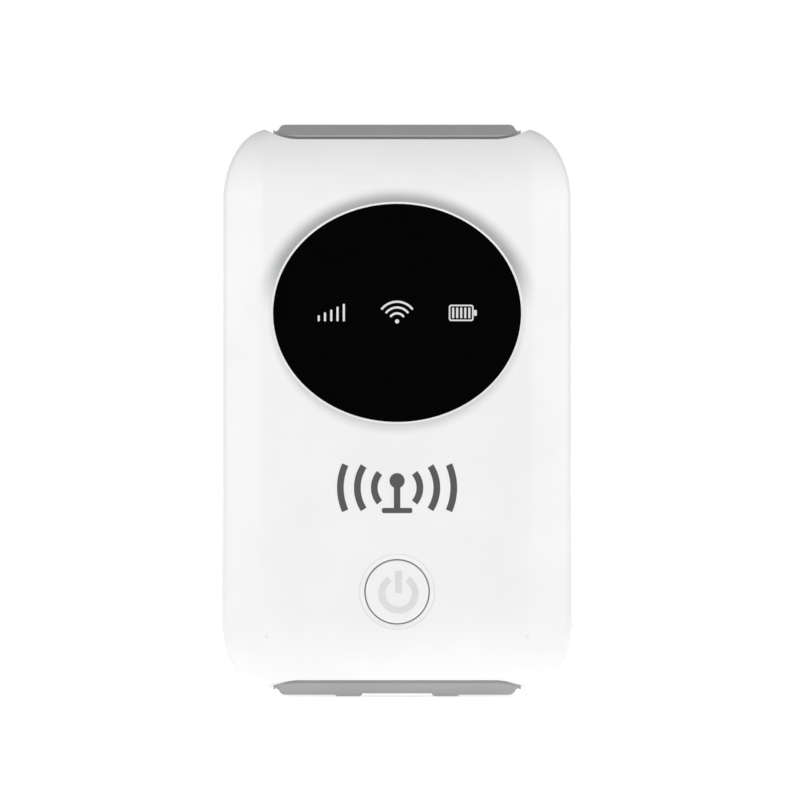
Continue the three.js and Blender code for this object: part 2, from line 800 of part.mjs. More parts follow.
// A sheet-metal can, open towards the board, with a row of vent holes along one side.
function shield(width, height) {
  const inside = rectangle(width - 2 * shieldSheet, height - 2 * shieldSheet);
  const hollow = plate(inside, -past, shieldHeight - shieldSheet);
  let can = plate(rectangle(width, height), 0, shieldHeight).subtract(hollow);
  const ventCount = Math.floor(height / shieldVentPitch) - 1;
  const ventX = width / 2 - shieldVentEdge;
  for (let i = 0; i < ventCount; i++) {
    const z = (i - (ventCount - 1) / 2) * shieldVentPitch;
    can = can.subtract(rod(shieldVent / 2, shieldHeight / 2, shieldHeight + past, ventX, z, smallSteps / 2));
  }
  return can;
}

function addResetSwitch(rear) {
  const reset = groupAt(rear, resetX, 0, resetZ);
  const pocket = rod(resetPlungerRadius + plungerPlay, switchFloor, resetHeight + past, 0, 0, smallSteps);
  const body = plate(rectangle(resetSize, resetSize), 0, resetHeight).subtract(pocket);
  addPart(reset, "reset_switch", geometryOf(body), "tinplate");
  const plungerFront = resetHeight / 2 + plungerPlay;
  const plungerBack = resetHeight + resetPlungerStand;
  const plunger = rodGeometry(resetPlungerRadius, plungerFront, plungerBack, smallSteps);
  addPart(reset, "reset_plunger", plunger, "blackPlastic");
}

function addSimSocket(rear) {
  const sim = groupAt(rear, simSocketLeft, 0, simZ);
  const half = simSocketHeight / 2;
  const channelHalf = simCardWidth / 2 + simPlay;
  const cardFront = (simSocketThickness - simCardThickness) / 2;
  const cardBack = cardFront + simCardThickness;
  const thumbStart = simSocketWidth - simThumbDepth;
  const mouth = simSocketWidth + past;
  const channelDepths = [cardFront - simPlay, cardBack + simPlay];
  const channel = box([simStop, mouth], channelDepths, [-channelHalf, channelHalf]);
  const thumbDepths = [cardBack, simSocketThickness + past];
  const thumb = box([thumbStart, mouth], thumbDepths, [-simThumbHalf, simThumbHalf]);
  const socket = box([0, simSocketWidth], [0, simSocketThickness], [-half, half]);
  addPart(sim, "sim_socket", geometryOf(socket.subtract(channel).subtract(thumb)), "tinplate");

  const cardHalf = simCardWidth / 2;
  const outline = polygon([
    [0, -cardHalf],
    [simCardLength - simCardCorner, -cardHalf],
    [simCardLength, simCardCorner - cardHalf],
    [simCardLength, cardHalf],
    [0, cardHalf],
  ]);
  const card = plateGeometry(outline, cardFront, cardBack);
  addPart(sim, "sim_card", card, "simWhite", simStop + simPlay, 0, 0);
}

// The receptacle's mouth outline: two chamfered corners at the front, drawn in by `inset`.
function portOutline(inset) {
  const half = portWidth / 2;
  const chamfer = portThickness / 3;
  return polygon([
    [inset - half, portThickness - inset],
    [inset - half, chamfer + inset / 2],
    [chamfer + inset / 2 - half, inset],
    [half - chamfer - inset / 2, inset],
    [half - inset, chamfer + inset / 2],
    [half - inset, portThickness - inset],
  ]);
}

function addPort(rear) {
  const port = groupAt(rear, 0, 0, portMouthZ);
  const bore = column(portOutline(portWall), -past, portLength + past);
  addPart(port, "usb_shell", geometryOf(column(portOutline(0), 0, portLength).subtract(bore)), "steel");

  const tongueHalf = tongueWidth / 2;
  const tongueFront = (portThickness - tongueThickness) / 2;
  const blockStart = portLength - tongueBlock - fitGap;
  const block = column(portOutline(portWall + fitGap), blockStart, portLength - fitGap);
  const depths = [tongueFront, tongueFront + tongueThickness];
  const tongue = box([-tongueHalf, tongueHalf], depths, [tongueSetback, portLength - fitGap]);
  addPart(port, "usb_tongue", geometryOf(tongue.add(block)), "blackPlastic");
}

// ---- Middle frame ----

function middleFrame() {
  const envelope = pillow(frameInset);
  let frame = envelope.intersect(slab(frameFront, frameBack));
  frame = frame.subtract(frameHollow([frameFront - past, floorFront], [-bayEnd, bayEnd]));
  const bayBelow = batteryBottom - bayClearance - middleZ;
  const bayAbove = batteryTop + bayClearance - middleZ;
  frame = frame.subtract(frameHollow([floorBack, large], [-bayEnd, bayBelow - ribThickness]));
  frame = frame.subtract(frameHollow([floorBack, large], [bayBelow, bayAbove]));
  frame = frame.subtract(frameHollow([floorBack, large], [bayAbove + ribThickness, bayEnd]));
  for (const side of [-1, 1]) {
    const end = endBlock(side, barTopHalf, [neckFront, frameBack], [bayEnd, halfHeight]);
    const neck = endBlock(side, neckHalf, [neckFront, neckBack], [bayEnd, notchFloor + barGap + barEdge]);
    frame = frame.add(end.intersect(envelope)).add(neck).add(endBar(side));
  }
  const recess = box([-footInner, footInner], [-large, large], [-large, footRise + portRecess]);
  return frame.add(feet()).subtract(recess).subtract(frameOpenings());
}

// The inside of the frame's side walls, between two distances from the middle.
function frameHollow([y0, y1], span) {
  return plate(caseOutline(bayInset), y0, y1).intersect(endBlock(1, large, [-large, large], span));
}

// The visible bar at one end: sloped towards the front and the back, with tapered ends.
function endBar(side) {
  const z = (w) => middleZ + side * w;
  const cornerX = barTopHalf + barCornerRound * (barTaper / (barTop - notchFloor));
  const outline = new THREE.Shape();
  followNotch(outline, side, barBaseHalf, barGap);
  outline.lineTo(cornerX, z(barTop - barCornerRound));
  outline.quadraticCurveTo(barTopHalf, z(barTop), barTopHalf - barCornerRound, z(barTop));
  outline.lineTo(barCornerRound - barTopHalf, z(barTop));
  outline.quadraticCurveTo(-barTopHalf, z(barTop), -cornerX, z(barTop - barCornerRound));
  const front = frontY + rollDrop(frontRoll, notchFloor) + barInset;
  const back = backY - rollDrop(backRoll, notchFloor) - barInset;
  const edge = notchFloor + barGap + barEdge;
  const section = polygon([
    [front, z(notchFloor)],
    [front, z(edge)],
    [front + barSlope, z(barTop)],
    [back - barSlope, z(barTop)],
    [back, z(edge)],
    [back, z(notchFloor)],
  ]);
  return plate(outline, -large, large).intersect(beam(section, large));
}

function feet() {
  const top = footRise + portRecess + past;
  const section = polygon([
    [-footOuter, footRise],
    [footBevel - footOuter, 0],
    [-footInner - footBevel, 0],
    [-footInner, footRise],
    [-footInner, top],
    [-footOuter, top],
  ]);
  const left = plate(section, -footDepth / 2, footDepth / 2);
  return left.add(left.mirror([1, 0, 0]));
}

function frameOpenings() {
  const portX = portWidth / 2 + portPlay;
  const portY = portThickness / 2 + portPlay;
  const portTop = portMouthZ + portLength + portPlay;
  let cut = box([-portX, portX], [portMiddleY - portY, portMiddleY + portY], [-large, portTop]);
  const tabX = boardTabHalf + portPlay;
  const tabBottom = portMouthZ + portOverhang - portPlay;
  cut = cut.add(box([-tabX, tabX], [neckFront - past, floorFront], [tabBottom, portTop]));
  const connectorX = connectorWidth / 2 + bayClearance;
  const connectorSpan = [connectorBottom - bayClearance, batteryBottom];
  cut = cut.add(box([-connectorX, connectorX], [floorFront - past, large], connectorSpan));
  const simSpan = [simWindowBottom, 2 * simZ - simWindowBottom];
  const simWidth = [simSocketLeft - simWindowMargin, boardRoom - simWindowSide];
  cut = cut.add(box(simWidth, [floorFront - past, floorBack + past], simSpan));
  cut = cut.add(rod(resetHoleRadius, floorFront - past, floorBack + past, resetX, resetZ, smallSteps));
  for (const { x, z } of screwPlaces()) {
    cut = cut.add(rod(screwShankRadius + screwPlay, floorFront - past, floorBack + past, x, z, smallSteps));
  }
  for (const { side, inner, z } of clipPlaces()) {
    const slotSpan = [z - clipLength / 2 - clipPlay, z + clipLength / 2 + clipPlay];
    cut = cut.add(box([side * (inner - clipPlay), side * large], [frameFront - past, large], slotSpan));
  }
  return cut;
}

// ---- Screws ----

function addScrews(parent) {
  const under = floorBack + fitGap;
  const headBack = under + screwHeadHeight;
  const tip = under - screwLength;
  const profile = [
    [0, tip],
    [screwTipRadius, tip],
    [screwShankRadius, tip + screwShankRadius],
    [screwShankRadius, under],
    [screwHeadRadius, under],
    [screwHeadRadius, headBack - screwHeadBevel],
    [screwHeadRadius - screwHeadBevel, headBack],
    [0, headBack],
  ];
  const half = crossWidth / 2;
  const arm = crossLength / 2;
  const slotDepths = [headBack - crossDepth, headBack + past];
  let screw = turned(profile, smallSteps);
  screw = screw.subtract(box([-half, half], slotDepths, [-arm, arm]));
  screw = screw.subtract(box([-arm, arm], slotDepths, [-half, half]));
  for (const { name, x, z } of screwPlaces()) {
    addPart(parent, name, geometryOf(screw), "steel", x, 0, z);
  }
}

// ---- Battery and its contacts ----

function addBattery(parent) {
  const pack = groupAt(parent, 0, batteryMiddleY, batteryBottom);
  const cell = column(batterySection(), batteryCapHeight + fitGap, batteryHeight);
  addPart(pack, "battery_cell", geometryOf(cell), "batteryWrap");
  const pocketX = terminalWidth / 2 + fitGap;
  const pocketY = terminalDepth / 2 + fitGap;
  const pocketTop = terminalThickness + fitGap;
  const terminal = new THREE.BoxGeometry(terminalWidth, terminalDepth, terminalThickness);
  let cap = column(batterySection(), 0, batteryCapHeight);
  for (const step of [-1, 0, 1]) {
    const x = step * terminalSpacing;
    cap = cap.subtract(box([x - pocketX, x + pocketX], [-pocketY, pocketY], [-past, pocketTop]));
    addPart(pack, `battery_terminal_${step + 2}`, terminal, "gold", x, 0, terminalThickness / 2);
  }
  addPart(pack, "battery_cap", geometryOf(cap), "blackPlastic");
}

// The pack's section, a flat slab with half-round sides.
function batterySection() {
  const radius = batteryThickness / 2;
  const sideX = batteryWidth / 2 - radius;
  const quarter = Math.PI / 2;
  const section = new THREE.Shape();
  section.moveTo(sideX, -radius);
  section.absarc(sideX, 0, radius, -quarter, quarter, false);
  section.absarc(-sideX, 0, radius, quarter, 3 * quarter, false);
  return section;
}

function addConnector(parent) {
  const half = connectorWidth / 2;
  const depths = [boardBack + fitGap, batteryBackY - connectorRoom];
  let block = box([-half, half], depths, [connectorBottom, connectorTop]);
  const bladeTop = batteryBottom - contactGap;
  const bladeBottom = connectorTop - bladeSink;
  const blade = new THREE.BoxGeometry(bladeWidth, bladeDepth, bladeTop - bladeBottom);
  const slotX = bladeWidth / 2 + fitGap;
  const slotY = bladeDepth / 2 + fitGap;
  const slotDepths = [batteryMiddleY - slotY, batteryMiddleY + slotY];
  for (const step of [-1, 0, 1]) {
    const x = step * terminalSpacing;
    block = block.subtract(box([x - slotX, x + slotX], slotDepths, [bladeBottom - fitGap, large]));
    const bladeZ = (bladeTop + bladeBottom) / 2;
    addPart(parent, `battery_contact_${step + 2}`, blade, "gold", x, batteryMiddleY, bladeZ);
  }
  addPart(parent, "battery_connector", geometryOf(block), "blackPlastic");
}

// ---- Rear cover ----

function rearCover() {
  let cover = pillow(0).intersect(slab(coverFront, large)).subtract(pillow(backWall));
  for (const side of [-1, 1]) {
    cover = cover.subtract(endNotch(side));
  }
  const tip = seamY - clipReach;
  const root = coverFront + clipRoot;
  const wallX = halfWidth - backWall / 2;
  for (const { side, inner, z } of clipPlaces()) {
    const outer = inner + clipThickness;
    const span = [z - clipLength / 2, z + clipLength / 2];
    cover = cover.add(box([side * inner, side * outer], [tip, root], span));
    cover = cover.add(box([side * (outer - fitGap), side * wallX], [coverFront, root], span));
    cover = cover.add(box([side * (outer - fitGap), side * (outer + nibRise)], [tip, tip + nibHeight], span));
  }
  const prySpan = [prySlotBottom, prySlotBottom + prySlotLength];
  const pryDepths = [-large, coverFront + prySlotHeight];
  return cover.subtract(box([halfWidth - prySlotDepth, large], pryDepths, prySpan));
}

function addFoam(parent) {
  const back = backInnerY - fitGap;
  const shape = rectangle(batteryWidth - 2 * foamMargin, batteryHeight - 2 * foamMargin);
  addPart(parent, "foam_pad", plateGeometry(shape, back - foamThickness, back), "foam", 0, 0, batteryZ);
}

// ---- Antennas on the frame ----

function addAntennas(parent) {
  const flexBack = neckFront - fitGap;
  const depths = [flexBack - flexThickness, flexBack];
  const half = neckHalf - antennaEndMargin;
  const low = middleZ + bayEnd;
  const strip = box([-half, half], depths, [low, low + antennaWidth]);
  const foldBack = Math.min(flexBack, boardFront - antennaBoardGap);
  const foldFront = foldBack - flexThickness;
  const foldSpan = [half - antennaFold, half];
  const fold = box(foldSpan, [foldFront, foldBack], [low - antennaFold, low + fitGap]);
  const bend = box(foldSpan, [foldFront, flexBack], [low, low + flexThickness]);
  addPart(parent, "main_antenna", geometryOf(strip.add(bend).add(fold)), "flex");

  const lower = new THREE.BoxGeometry(diversityLength, flexThickness, antennaWidth);
  const lowerX = diversityLength / 2 - barTopHalf;
  const lowerZ = middleZ - bayEnd - antennaWidth / 2;
  addPart(parent, "diversity_antenna", lower, "flex", lowerX, flexBack - flexThickness / 2, lowerZ);

  const sideDepth = floorFront - frameFront - 2 * fitGap;
  const side = new THREE.BoxGeometry(flexThickness, sideDepth, sideAntennaLength);
  const sideX = bayHalf - fitGap - flexThickness / 2;
  addPart(parent, "wifi_antenna", side, "flex", sideX, (floorFront + frameFront) / 2, middleZ);
}

// ---- The whole device ----

const hotspot = new THREE.Group();

const casing = groupAt(hotspot, 0, 0, 0);
addPart(casing, "front_shell", geometryOf(frontShell()), "glossWhite");
addPart(casing, "middle_frame", geometryOf(middleFrame()), "matteGrey");
addScrews(casing);

const electronics = groupAt(hotspot, 0, 0, 0);
addDisplay(electronics);
addPowerButton(electronics);
addBoard(electronics);
addConnector(electronics);
addAntennas(electronics);
addBattery(electronics);

const cover = groupAt(hotspot, 0, 0, 0);
addPart(cover, "rear_cover", geometryOf(rearCover()), "satinWhite");
addFoam(cover);

export default hotspot;
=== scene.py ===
import json
import math

import bpy
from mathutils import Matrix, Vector


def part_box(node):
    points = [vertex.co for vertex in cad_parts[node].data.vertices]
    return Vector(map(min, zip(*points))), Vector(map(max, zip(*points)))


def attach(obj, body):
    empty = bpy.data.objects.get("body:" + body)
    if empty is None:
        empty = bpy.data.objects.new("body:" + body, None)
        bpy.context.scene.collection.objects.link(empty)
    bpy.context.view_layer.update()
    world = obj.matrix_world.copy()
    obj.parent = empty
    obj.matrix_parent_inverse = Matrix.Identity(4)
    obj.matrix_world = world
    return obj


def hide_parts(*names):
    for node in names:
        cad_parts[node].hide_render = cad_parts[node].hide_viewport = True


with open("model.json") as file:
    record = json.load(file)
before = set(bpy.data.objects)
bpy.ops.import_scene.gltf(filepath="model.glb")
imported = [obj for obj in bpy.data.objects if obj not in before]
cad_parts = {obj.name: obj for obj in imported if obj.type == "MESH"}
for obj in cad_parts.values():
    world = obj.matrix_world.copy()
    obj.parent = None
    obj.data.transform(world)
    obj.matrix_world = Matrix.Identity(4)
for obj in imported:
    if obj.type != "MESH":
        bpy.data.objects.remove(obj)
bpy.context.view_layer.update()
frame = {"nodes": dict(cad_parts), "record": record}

# Pocket mobile hotspot. Metres; X right, Y back, Z up, with the feet of the lower bar at Z = 0.
MM = 0.001

# ---- Sizes ----
CORNER = Vector((8.3, 0, 12.4)) * MM        # half axes of the corners, seen from the front
FRONT_ROLL = 5.6 * MM                       # depth over which the front rounds into the sides
BACK_ROLL = 4.6 * MM
FRONT_WALL = 1.5 * MM
BACK_WALL = 1.2 * MM
NOTCH_DEPTH = 1.85 * MM                     # how far the end bars sit down into the shells
HORN_MARGIN = 7.2 * MM                      # side of the case to the start of the ramp
RAMP_RUN = 4.0 * MM
RAMP_BLEND = 1.8 * MM
BAR_RISE = 0.7 * MM                         # how far the end bars stand out of the shells
FOOT_RISE = 0.26 * MM
SEAM_Y = 0.6 * MM                           # the front shell's rim
SEAM_GAP = 0.25 * MM
SEAM_BEVEL = 0.14 * MM
EDGE_BEVEL = 0.1 * MM
FINE_BEVEL = 0.06 * MM                      # for the small pieces inside
SKIN = 1.2 * MM                             # how deep the painted shading of the front goes
DISH_SIDE = 1.8 * MM                        # rolled recess round the window, at its sides
DISH_END = 2.4 * MM                         # and above and below it
DISH_RISE = 0.45 * MM                       # the recess reaches higher than it reaches down
LENS_GAP = 0.03 * MM
LENS_LIP = 0.34 * MM
LENS_BEVEL = 0.08 * MM
LEDGE_WIDTH = 2.5 * MM                      # how far the ledge reaches in behind the window
LEDGE_MARGIN = 1.95 * MM                    # and out past it
LEDGE_REACH = 0.85 * MM                     # how far back the ledge goes from the adhesive
BUTTON_R = 5.4 * MM
BUTTON_GAP = 0.2 * MM
MOUTH_WIDTH = 0.85 * MM                     # chamfer round the button hole
MOUTH_DEPTH = 0.35 * MM
CAP_DEPTH = 1.7 * MM
CAP_ROUND = 0.28 * MM
FLANGE_WIDTH = 1.2 * MM
FLANGE_THICKNESS = 0.7 * MM
STEM_R = 1.6 * MM
STEP = 0.005 * MM                           # under the faces that are resized
SINK_X = 22.3 * MM                          # faint sink marks over two ribs, low on the front, shown only as painted shade
SINK_Z = 10.3 * MM
CLIP_SPACING = 23.97 * MM
CLIP_HALF = 4 * MM                          # half its length
CLIP_THICKNESS = 1 * MM
CLIP_PLAY = 0.35 * MM
CLIP_ROOT = 1.4 * MM
CLIP_LAP = 0.1 * MM                         # how far its root and nib run into the tongue
NIB_RISE = 0.18 * MM
NIB_HEIGHT = 0.5 * MM
PRY_LOW = 19.5 * MM                         # the slot for prying the cover off
PRY_HIGH = 28.5 * MM
PRY_DEPTH = 0.9 * MM
PRY_HEIGHT = 1.1 * MM
PRY_ROUND = 0.6 * MM
GAP_REACH = 21.2 * MM                       # half length of the wall behind the gap at a bar
GAP_LIFT = 0.5 * MM
GAP_SINK = 0.06 * MM
TOP_GAP_DEPTH = 3.6 * MM                    # how far back that wall starts, at the top
BOTTOM_GAP_DEPTH = 3.15 * MM                # and at the bottom
PAST = 1 * MM                               # how far a cut runs past the face that it opens
ICON_STROKE = 0.37 * MM
ICON_DROP = 1.45 * MM                       # from the middle of the window to the icons' foot
PRINT = 0.02 * MM                           # how far printed ink stands proud
INK_REACH = 0.4 * MM                        # how far a printed shape runs into what carries it


# ---- Modelling ----

def mode(name):
    bpy.ops.object.mode_set(mode=name)


def only(piece):
    bpy.ops.object.select_all(action="DESELECT")
    piece.select_set(True)
    bpy.context.view_layer.objects.active = piece


def settle(piece):
    """Puts the piece's place, turn and size into its mesh."""
    only(piece)
    bpy.ops.object.transform_apply(location=True, rotation=True, scale=True)
    return piece


def named(piece, name):
    piece.name = name
    piece.data.name = name
    return piece


def block(name, low, high):
    """A box between two corners."""
    low, high = Vector(low), Vector(high)
    bpy.ops.object.select_all(action="DESELECT")
    bpy.ops.mesh.primitive_cube_add(size=1, location=(low + high) / 2, scale=high - low)
    return settle(named(bpy.context.object, name))


def disc(name, centre, radius, depth, steps=96, stretch=1.0):
    """A round bar along Y, from the centre of its front face; `stretch` makes it an oval in Z."""
    place = Vector(centre) + Vector((0, depth / 2, 0))
    bpy.ops.object.select_all(action="DESELECT")
    bpy.ops.mesh.primitive_cylinder_add(vertices=steps, radius=radius, depth=depth, location=place,
                                        rotation=(math.pi / 2, 0, 0))
    piece = named(bpy.context.object, name)
    piece.scale.y = stretch
    return settle(piece)


def choose(piece, kind, test):
    """Enters edit mode with just the faces or edges selected that pass the test."""
    only(piece)
    mode("EDIT")
    bpy.ops.mesh.select_mode(type=kind)
    bpy.ops.mesh.select_all(action="DESELECT")
    mode("OBJECT")
    mesh = piece.data
    if kind == "FACE":
        for face in mesh.polygons:
            face.select = test(face.center, face.normal)
    else:
        for edge in mesh.edges:
            a, b = (mesh.vertices[i].co for i in edge.vertices)
            edge.select = test(a, b)
    mode("EDIT")


def bevel_edges(piece, test, width, steps=3):
    choose(piece, "EDGE", test)
    bpy.ops.mesh.bevel(offset=width, segments=steps, affect="EDGES", clamp_overlap=True)
    mode("OBJECT")
    return piece


def modify(piece, kind, **settings):
    only(piece)
    bpy.ops.object.modifier_add(type=kind)
    modifier = piece.modifiers[-1]
    for key, value in settings.items():
        setattr(modifier, key, value)
    bpy.ops.object.modifier_apply(modifier=modifier.name)
    return piece


def combine(piece, tool, operation="DIFFERENCE"):
    modify(piece, "BOOLEAN", object=tool, operation=operation, solver="EXACT")
    bpy.data.objects.remove(tool)
    return piece


def tidy(piece, angle=32):
    """Merges doubles, turns faces outwards and smooths what isn't an edge."""
    only(piece)
    mode("EDIT")
    bpy.ops.mesh.select_all(action="SELECT")
    bpy.ops.mesh.remove_doubles(threshold=1e-7)
    bpy.ops.mesh.normals_make_consistent(inside=False)
    mode("OBJECT")
    bpy.ops.object.shade_smooth_by_angle(angle=math.radians(angle))
    return piece


def weigh_normals(piece):
    """Keeps broad flat faces looking flat where they run into a rounded edge."""
    return modify(piece, "WEIGHTED_NORMAL", keep_sharp=True, weight=100)


def joined(pieces, name):
    bpy.ops.object.select_all(action="DESELECT")
    for piece in pieces:
        piece.select_set(True)
    bpy.context.view_layer.objects.active = pieces[0]
    bpy.ops.object.join()
    return named(bpy.context.object, name)


def softened(node, width=EDGE_BEVEL, angle=35, steps=2):
    """A copy of a CAD node with its sharp edges eased, to stand for it."""
    source = frame["nodes"][node]
    only(source)
    bpy.ops.object.duplicate(linked=False)
    piece = named(bpy.context.object, f"{node}_eased")
    for key in list(piece.keys()):
        del piece[key]
    piece.parent = None
    only(piece)
    mode("EDIT")
    bpy.ops.mesh.select_all(action="SELECT")
    bpy.ops.mesh.remove_doubles(threshold=1e-6)
    bpy.ops.mesh.normals_make_consistent(inside=False)
    bpy.ops.mesh.dissolve_limited(angle_limit=math.radians(0.5))
    mode("OBJECT")
    modify(piece, "BEVEL", width=width, segments=steps, limit_method="ANGLE",
           angle_limit=math.radians(angle), use_clamp_overlap=True)
    bpy.ops.object.shade_smooth_by_angle(angle=math.radians(angle))
    weigh_normals(piece)
    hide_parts(node)
    return piece


def place(piece, body, finish, slot):
    """Hands a finished piece to its body, with its finish."""
    piece.data.materials.clear()
    piece.data.materials.append(finish)
    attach(piece, body)
    return piece


# ---- Shader maths ----

class Wire:
    """A socket that can stand in a sum."""

    def __init__(self, finish, socket):
        self.finish = finish
        self.socket = socket

    def math(self, operation, first, second=None):
        inputs = {0: first} if second is None else {0: first, 1: second}
        return self.finish.node("ShaderNodeMath", {"operation": operation}, inputs)

    def __add__(self, other):
        return self.math("ADD", self, other)

    def __radd__(self, other):
        return self.math("ADD", other, self)

    def __sub__(self, other):
        return self.math("SUBTRACT", self, other)

    def __rsub__(self, other):
        return self.math("SUBTRACT", other, self)

    def __mul__(self, other):
        return self.math("MULTIPLY", self, other)

    def __rmul__(self, other):
        return self.math("MULTIPLY", other, self)

    def __truediv__(self, other):
        return self.math("DIVIDE", self, other)

    def __pow__(self, other):
        return self.math("POWER", self, other)

    def root(self):
        return self.math("SQRT", self)

    def size(self):
        return self.math("ABSOLUTE", self)

    def over(self, other):
        return self.math("GREATER_THAN", self, other)

    def between(self, low, high):
        """0 below low, 1 above high, and smooth between them."""
        settings = {"interpolation_type": "SMOOTHSTEP"}
        inputs = {"Value": self, "From Min": low, "From Max": high}
        return self.finish.node("ShaderNodeMapRange", settings, inputs)


class Graph:
    """A node tree that is being filled in."""

    def __init__(self, owner):
        owner.use_nodes = True
        self.tree = owner.node_tree
        self.tree.nodes.clear()

    def feed(self, socket, value):
        if isinstance(value, Wire):
            self.tree.links.new(value.socket, socket)
        elif socket.type == "RGBA" and len(value) == 3:
            socket.default_value = (*value, 1)
        else:
            socket.default_value = value

    def node(self, kind, settings=None, inputs=None, output=0):
        made = self.tree.nodes.new(kind)
        for key, value in (settings or {}).items():
            setattr(made, key, value)
        for key, value in (inputs or {}).items():
            self.feed(made.inputs[key], value)
        return Wire(self, made.outputs[output])

    def blend(self, factor, first, second):
        made = self.tree.nodes.new("ShaderNodeMix")
        made.data_type = "RGBA"
        self.feed(made.inputs[0], factor)
        self.feed(made.inputs[6], first)
        self.feed(made.inputs[7], second)
        return Wire(self, made.outputs[2])

    def parts(self, vector):
        """The X, Y and Z of a vector."""
        split = self.node("ShaderNodeSeparateXYZ", inputs={0: vector}).socket.node
        return [Wire(self, split.outputs[i]) for i in range(3)]


class Finish(Graph):
    """A material under construction: one Principled shader and what feeds it."""

    def __init__(self, name):
        self.material = bpy.data.materials.new(name)
        super().__init__(self.material)
        output = self.tree.nodes.new("ShaderNodeOutputMaterial")
        self.shader = self.tree.nodes.new("ShaderNodeBsdfPrincipled")
        self.tree.links.new(self.shader.outputs[0], output.inputs["Surface"])

    def place(self):
        return self.node("ShaderNodeTexCoord", output="Object")

    def axes(self):
        return self.parts(self.place())

    def noise(self, size, detail=3.0, rough=0.5, stretch=(1, 1, 1)):
        """Cloudy noise whose features are about `size` across."""
        inputs = {"Vector": self.place(), "Scale": stretch}
        vector = self.node("ShaderNodeMapping", inputs=inputs)
        inputs = {"Vector": vector, "Scale": 1 / size, "Detail": detail, "Roughness": rough}
        return self.node("ShaderNodeTexNoise", inputs=inputs)

    def cells(self, size):
        """The distance to the nearest of many points about `size` apart."""
        inputs = {"Vector": self.place(), "Scale": 1 / size}
        return self.node("ShaderNodeTexVoronoi", inputs=inputs, output="Distance")

    def bump(self, height, distance, strength=1.0):
        inputs = {"Height": height, "Distance": distance, "Strength": strength}
        return self.node("ShaderNodeBump", inputs=inputs, output="Normal")

    def outside(self, y):
        """1 on the outside of the front, 0 towards the inside of the case."""
        return 1 - y.between(FRONT_Y + SKIN, FRONT_Y + SKIN + 0.4 * MM)

    def done(self, **sockets):
        for key, value in sockets.items():
            self.feed(self.shader.inputs[key.replace("_", " ")], value)
        return self.material


def grey(level):
    return (level, level, level)


# ---- Finishes ----

def gloss_white(name, window):
    """Polished white moulding; the recess above the window carries a soft grey painted shade, and faint
    painted shade marks a ring round the button and two sink marks.
    """
    paint = Finish(name)
    cloud = paint.noise(14 * MM, 2)
    grain = paint.noise(0.35 * MM, 3)
    speck = paint.cells(1.6 * MM)
    colour = paint.blend(cloud.between(0.3, 0.7), (0.85, 0.853, 0.855), (0.88, 0.88, 0.878))
    if window:
        x, y, z = paint.axes()
        centre, half_x, half_z = window
        across = (x - centre.x) / half_x
        up = (z - centre.z) / half_z
        reach = (across * across + up * up).root()
        away = (reach - 1) * (20 * MM)
        # painted shade: a soft grey on the recess wall above the window, standing for the shadow that
        # falls there
        shade = (1 - away.between(0.5 * MM, 3.4 * MM)) * away.over(LENS_LIP + LENS_GAP)
        shade = shade * (up / reach).between(0.0, 0.5) * paint.outside(y)
        colour = paint.blend(shade * 0.85, colour, (0.3, 0.303, 0.306))
        # painted shade: a thin grey ring just outside the button's chamfer, where its edge would show as a
        # shade line
        down = z - button_z
        turn = (x * x + down * down).root()
        ring_start = BUTTON_R + MOUTH_WIDTH
        ring = turn.between(ring_start, ring_start + 0.15 * MM)
        ring = ring * (1 - turn.between(ring_start + 0.15 * MM, ring_start + 0.35 * MM))
        # painted shade: two faint grey dots stand for the shading of the sink marks
        aside, drop = x.size() - SINK_X, z - SINK_Z
        sink_shade = 1 - (aside * aside + drop * drop).root().between(0.1 * MM, 0.5 * MM)
        # the button ring and the sink marks are blended into the colour here as painted shade
        soft = (ring * 0.3 + sink_shade * 0.2) * paint.outside(y)
        colour = paint.blend(soft, colour, (0.45, 0.452, 0.455))
    dust = (1 - speck.between(0.0, 0.055)) * grain.between(0.45, 0.7)
    roughness = 0.16 + 0.05 * grain + 0.25 * dust
    normal = paint.bump(paint.noise(1.8 * MM, 2) + 0.15 * grain, 0.004 * MM, 0.5)
    return paint.done(Base_Color=colour, Roughness=roughness, Normal=normal, IOR=1.49,
                      Coat_Weight=0.25, Coat_Roughness=0.08)


def satin_white():
    """The rear cover's fine spark-eroded texture."""
    paint = Finish("satin_white_cover")
    cloud = paint.noise(18 * MM, 2)
    grain = paint.noise(0.22 * MM, 3, 0.6)
    rub = paint.noise(6 * MM, 4)
    colour = paint.blend(cloud, (0.86, 0.865, 0.865), (0.9, 0.9, 0.895))
    colour = paint.blend(rub.between(0.62, 0.8) * 0.35, colour, (0.8, 0.8, 0.79))
    roughness = 0.34 + 0.12 * grain + 0.08 * rub
    normal = paint.bump(grain, 0.02 * MM, 0.55)
    return paint.done(Base_Color=colour, Roughness=roughness, Normal=normal, IOR=1.49)


def matte_grey():
    """The frame's grey moulding, with a fine even texture."""
    paint = Finish("matte_grey_frame")
    grain = paint.noise(0.18 * MM, 3, 0.6)
    cloud = paint.noise(7 * MM, 3)
    colour = paint.blend(cloud, (0.33, 0.33, 0.332), (0.38, 0.38, 0.382))
    colour = paint.blend(grain.between(0.35, 0.75) * 0.3, colour, (0.4, 0.4, 0.402))
    roughness = 0.5 + 0.14 * grain
    normal = paint.bump(grain, 0.02 * MM, 0.6)
    return paint.done(Base_Color=colour, Roughness=roughness, Normal=normal, IOR=1.45)


def black_window():
    """Smoked display window, printed black from behind."""
    paint = Finish("black_window")
    smear = paint.noise(9 * MM, 4, 0.6, (1, 1, 2.2))
    speck = paint.cells(2.6 * MM)
    colour = paint.blend(smear, (0.0003, 0.0003, 0.0004), (0.0008, 0.0008, 0.0009))
    roughness = 0.13 + 0.08 * smear.between(0.4, 0.75) + 0.2 * (1 - speck.between(0.0, 0.03))
    normal = paint.bump(paint.noise(5 * MM, 2), 0.003 * MM, 0.3)
    return paint.done(Base_Color=colour, Roughness=roughness, Normal=normal, IOR=1.45,
                      Specular_IOR_Level=0.02)


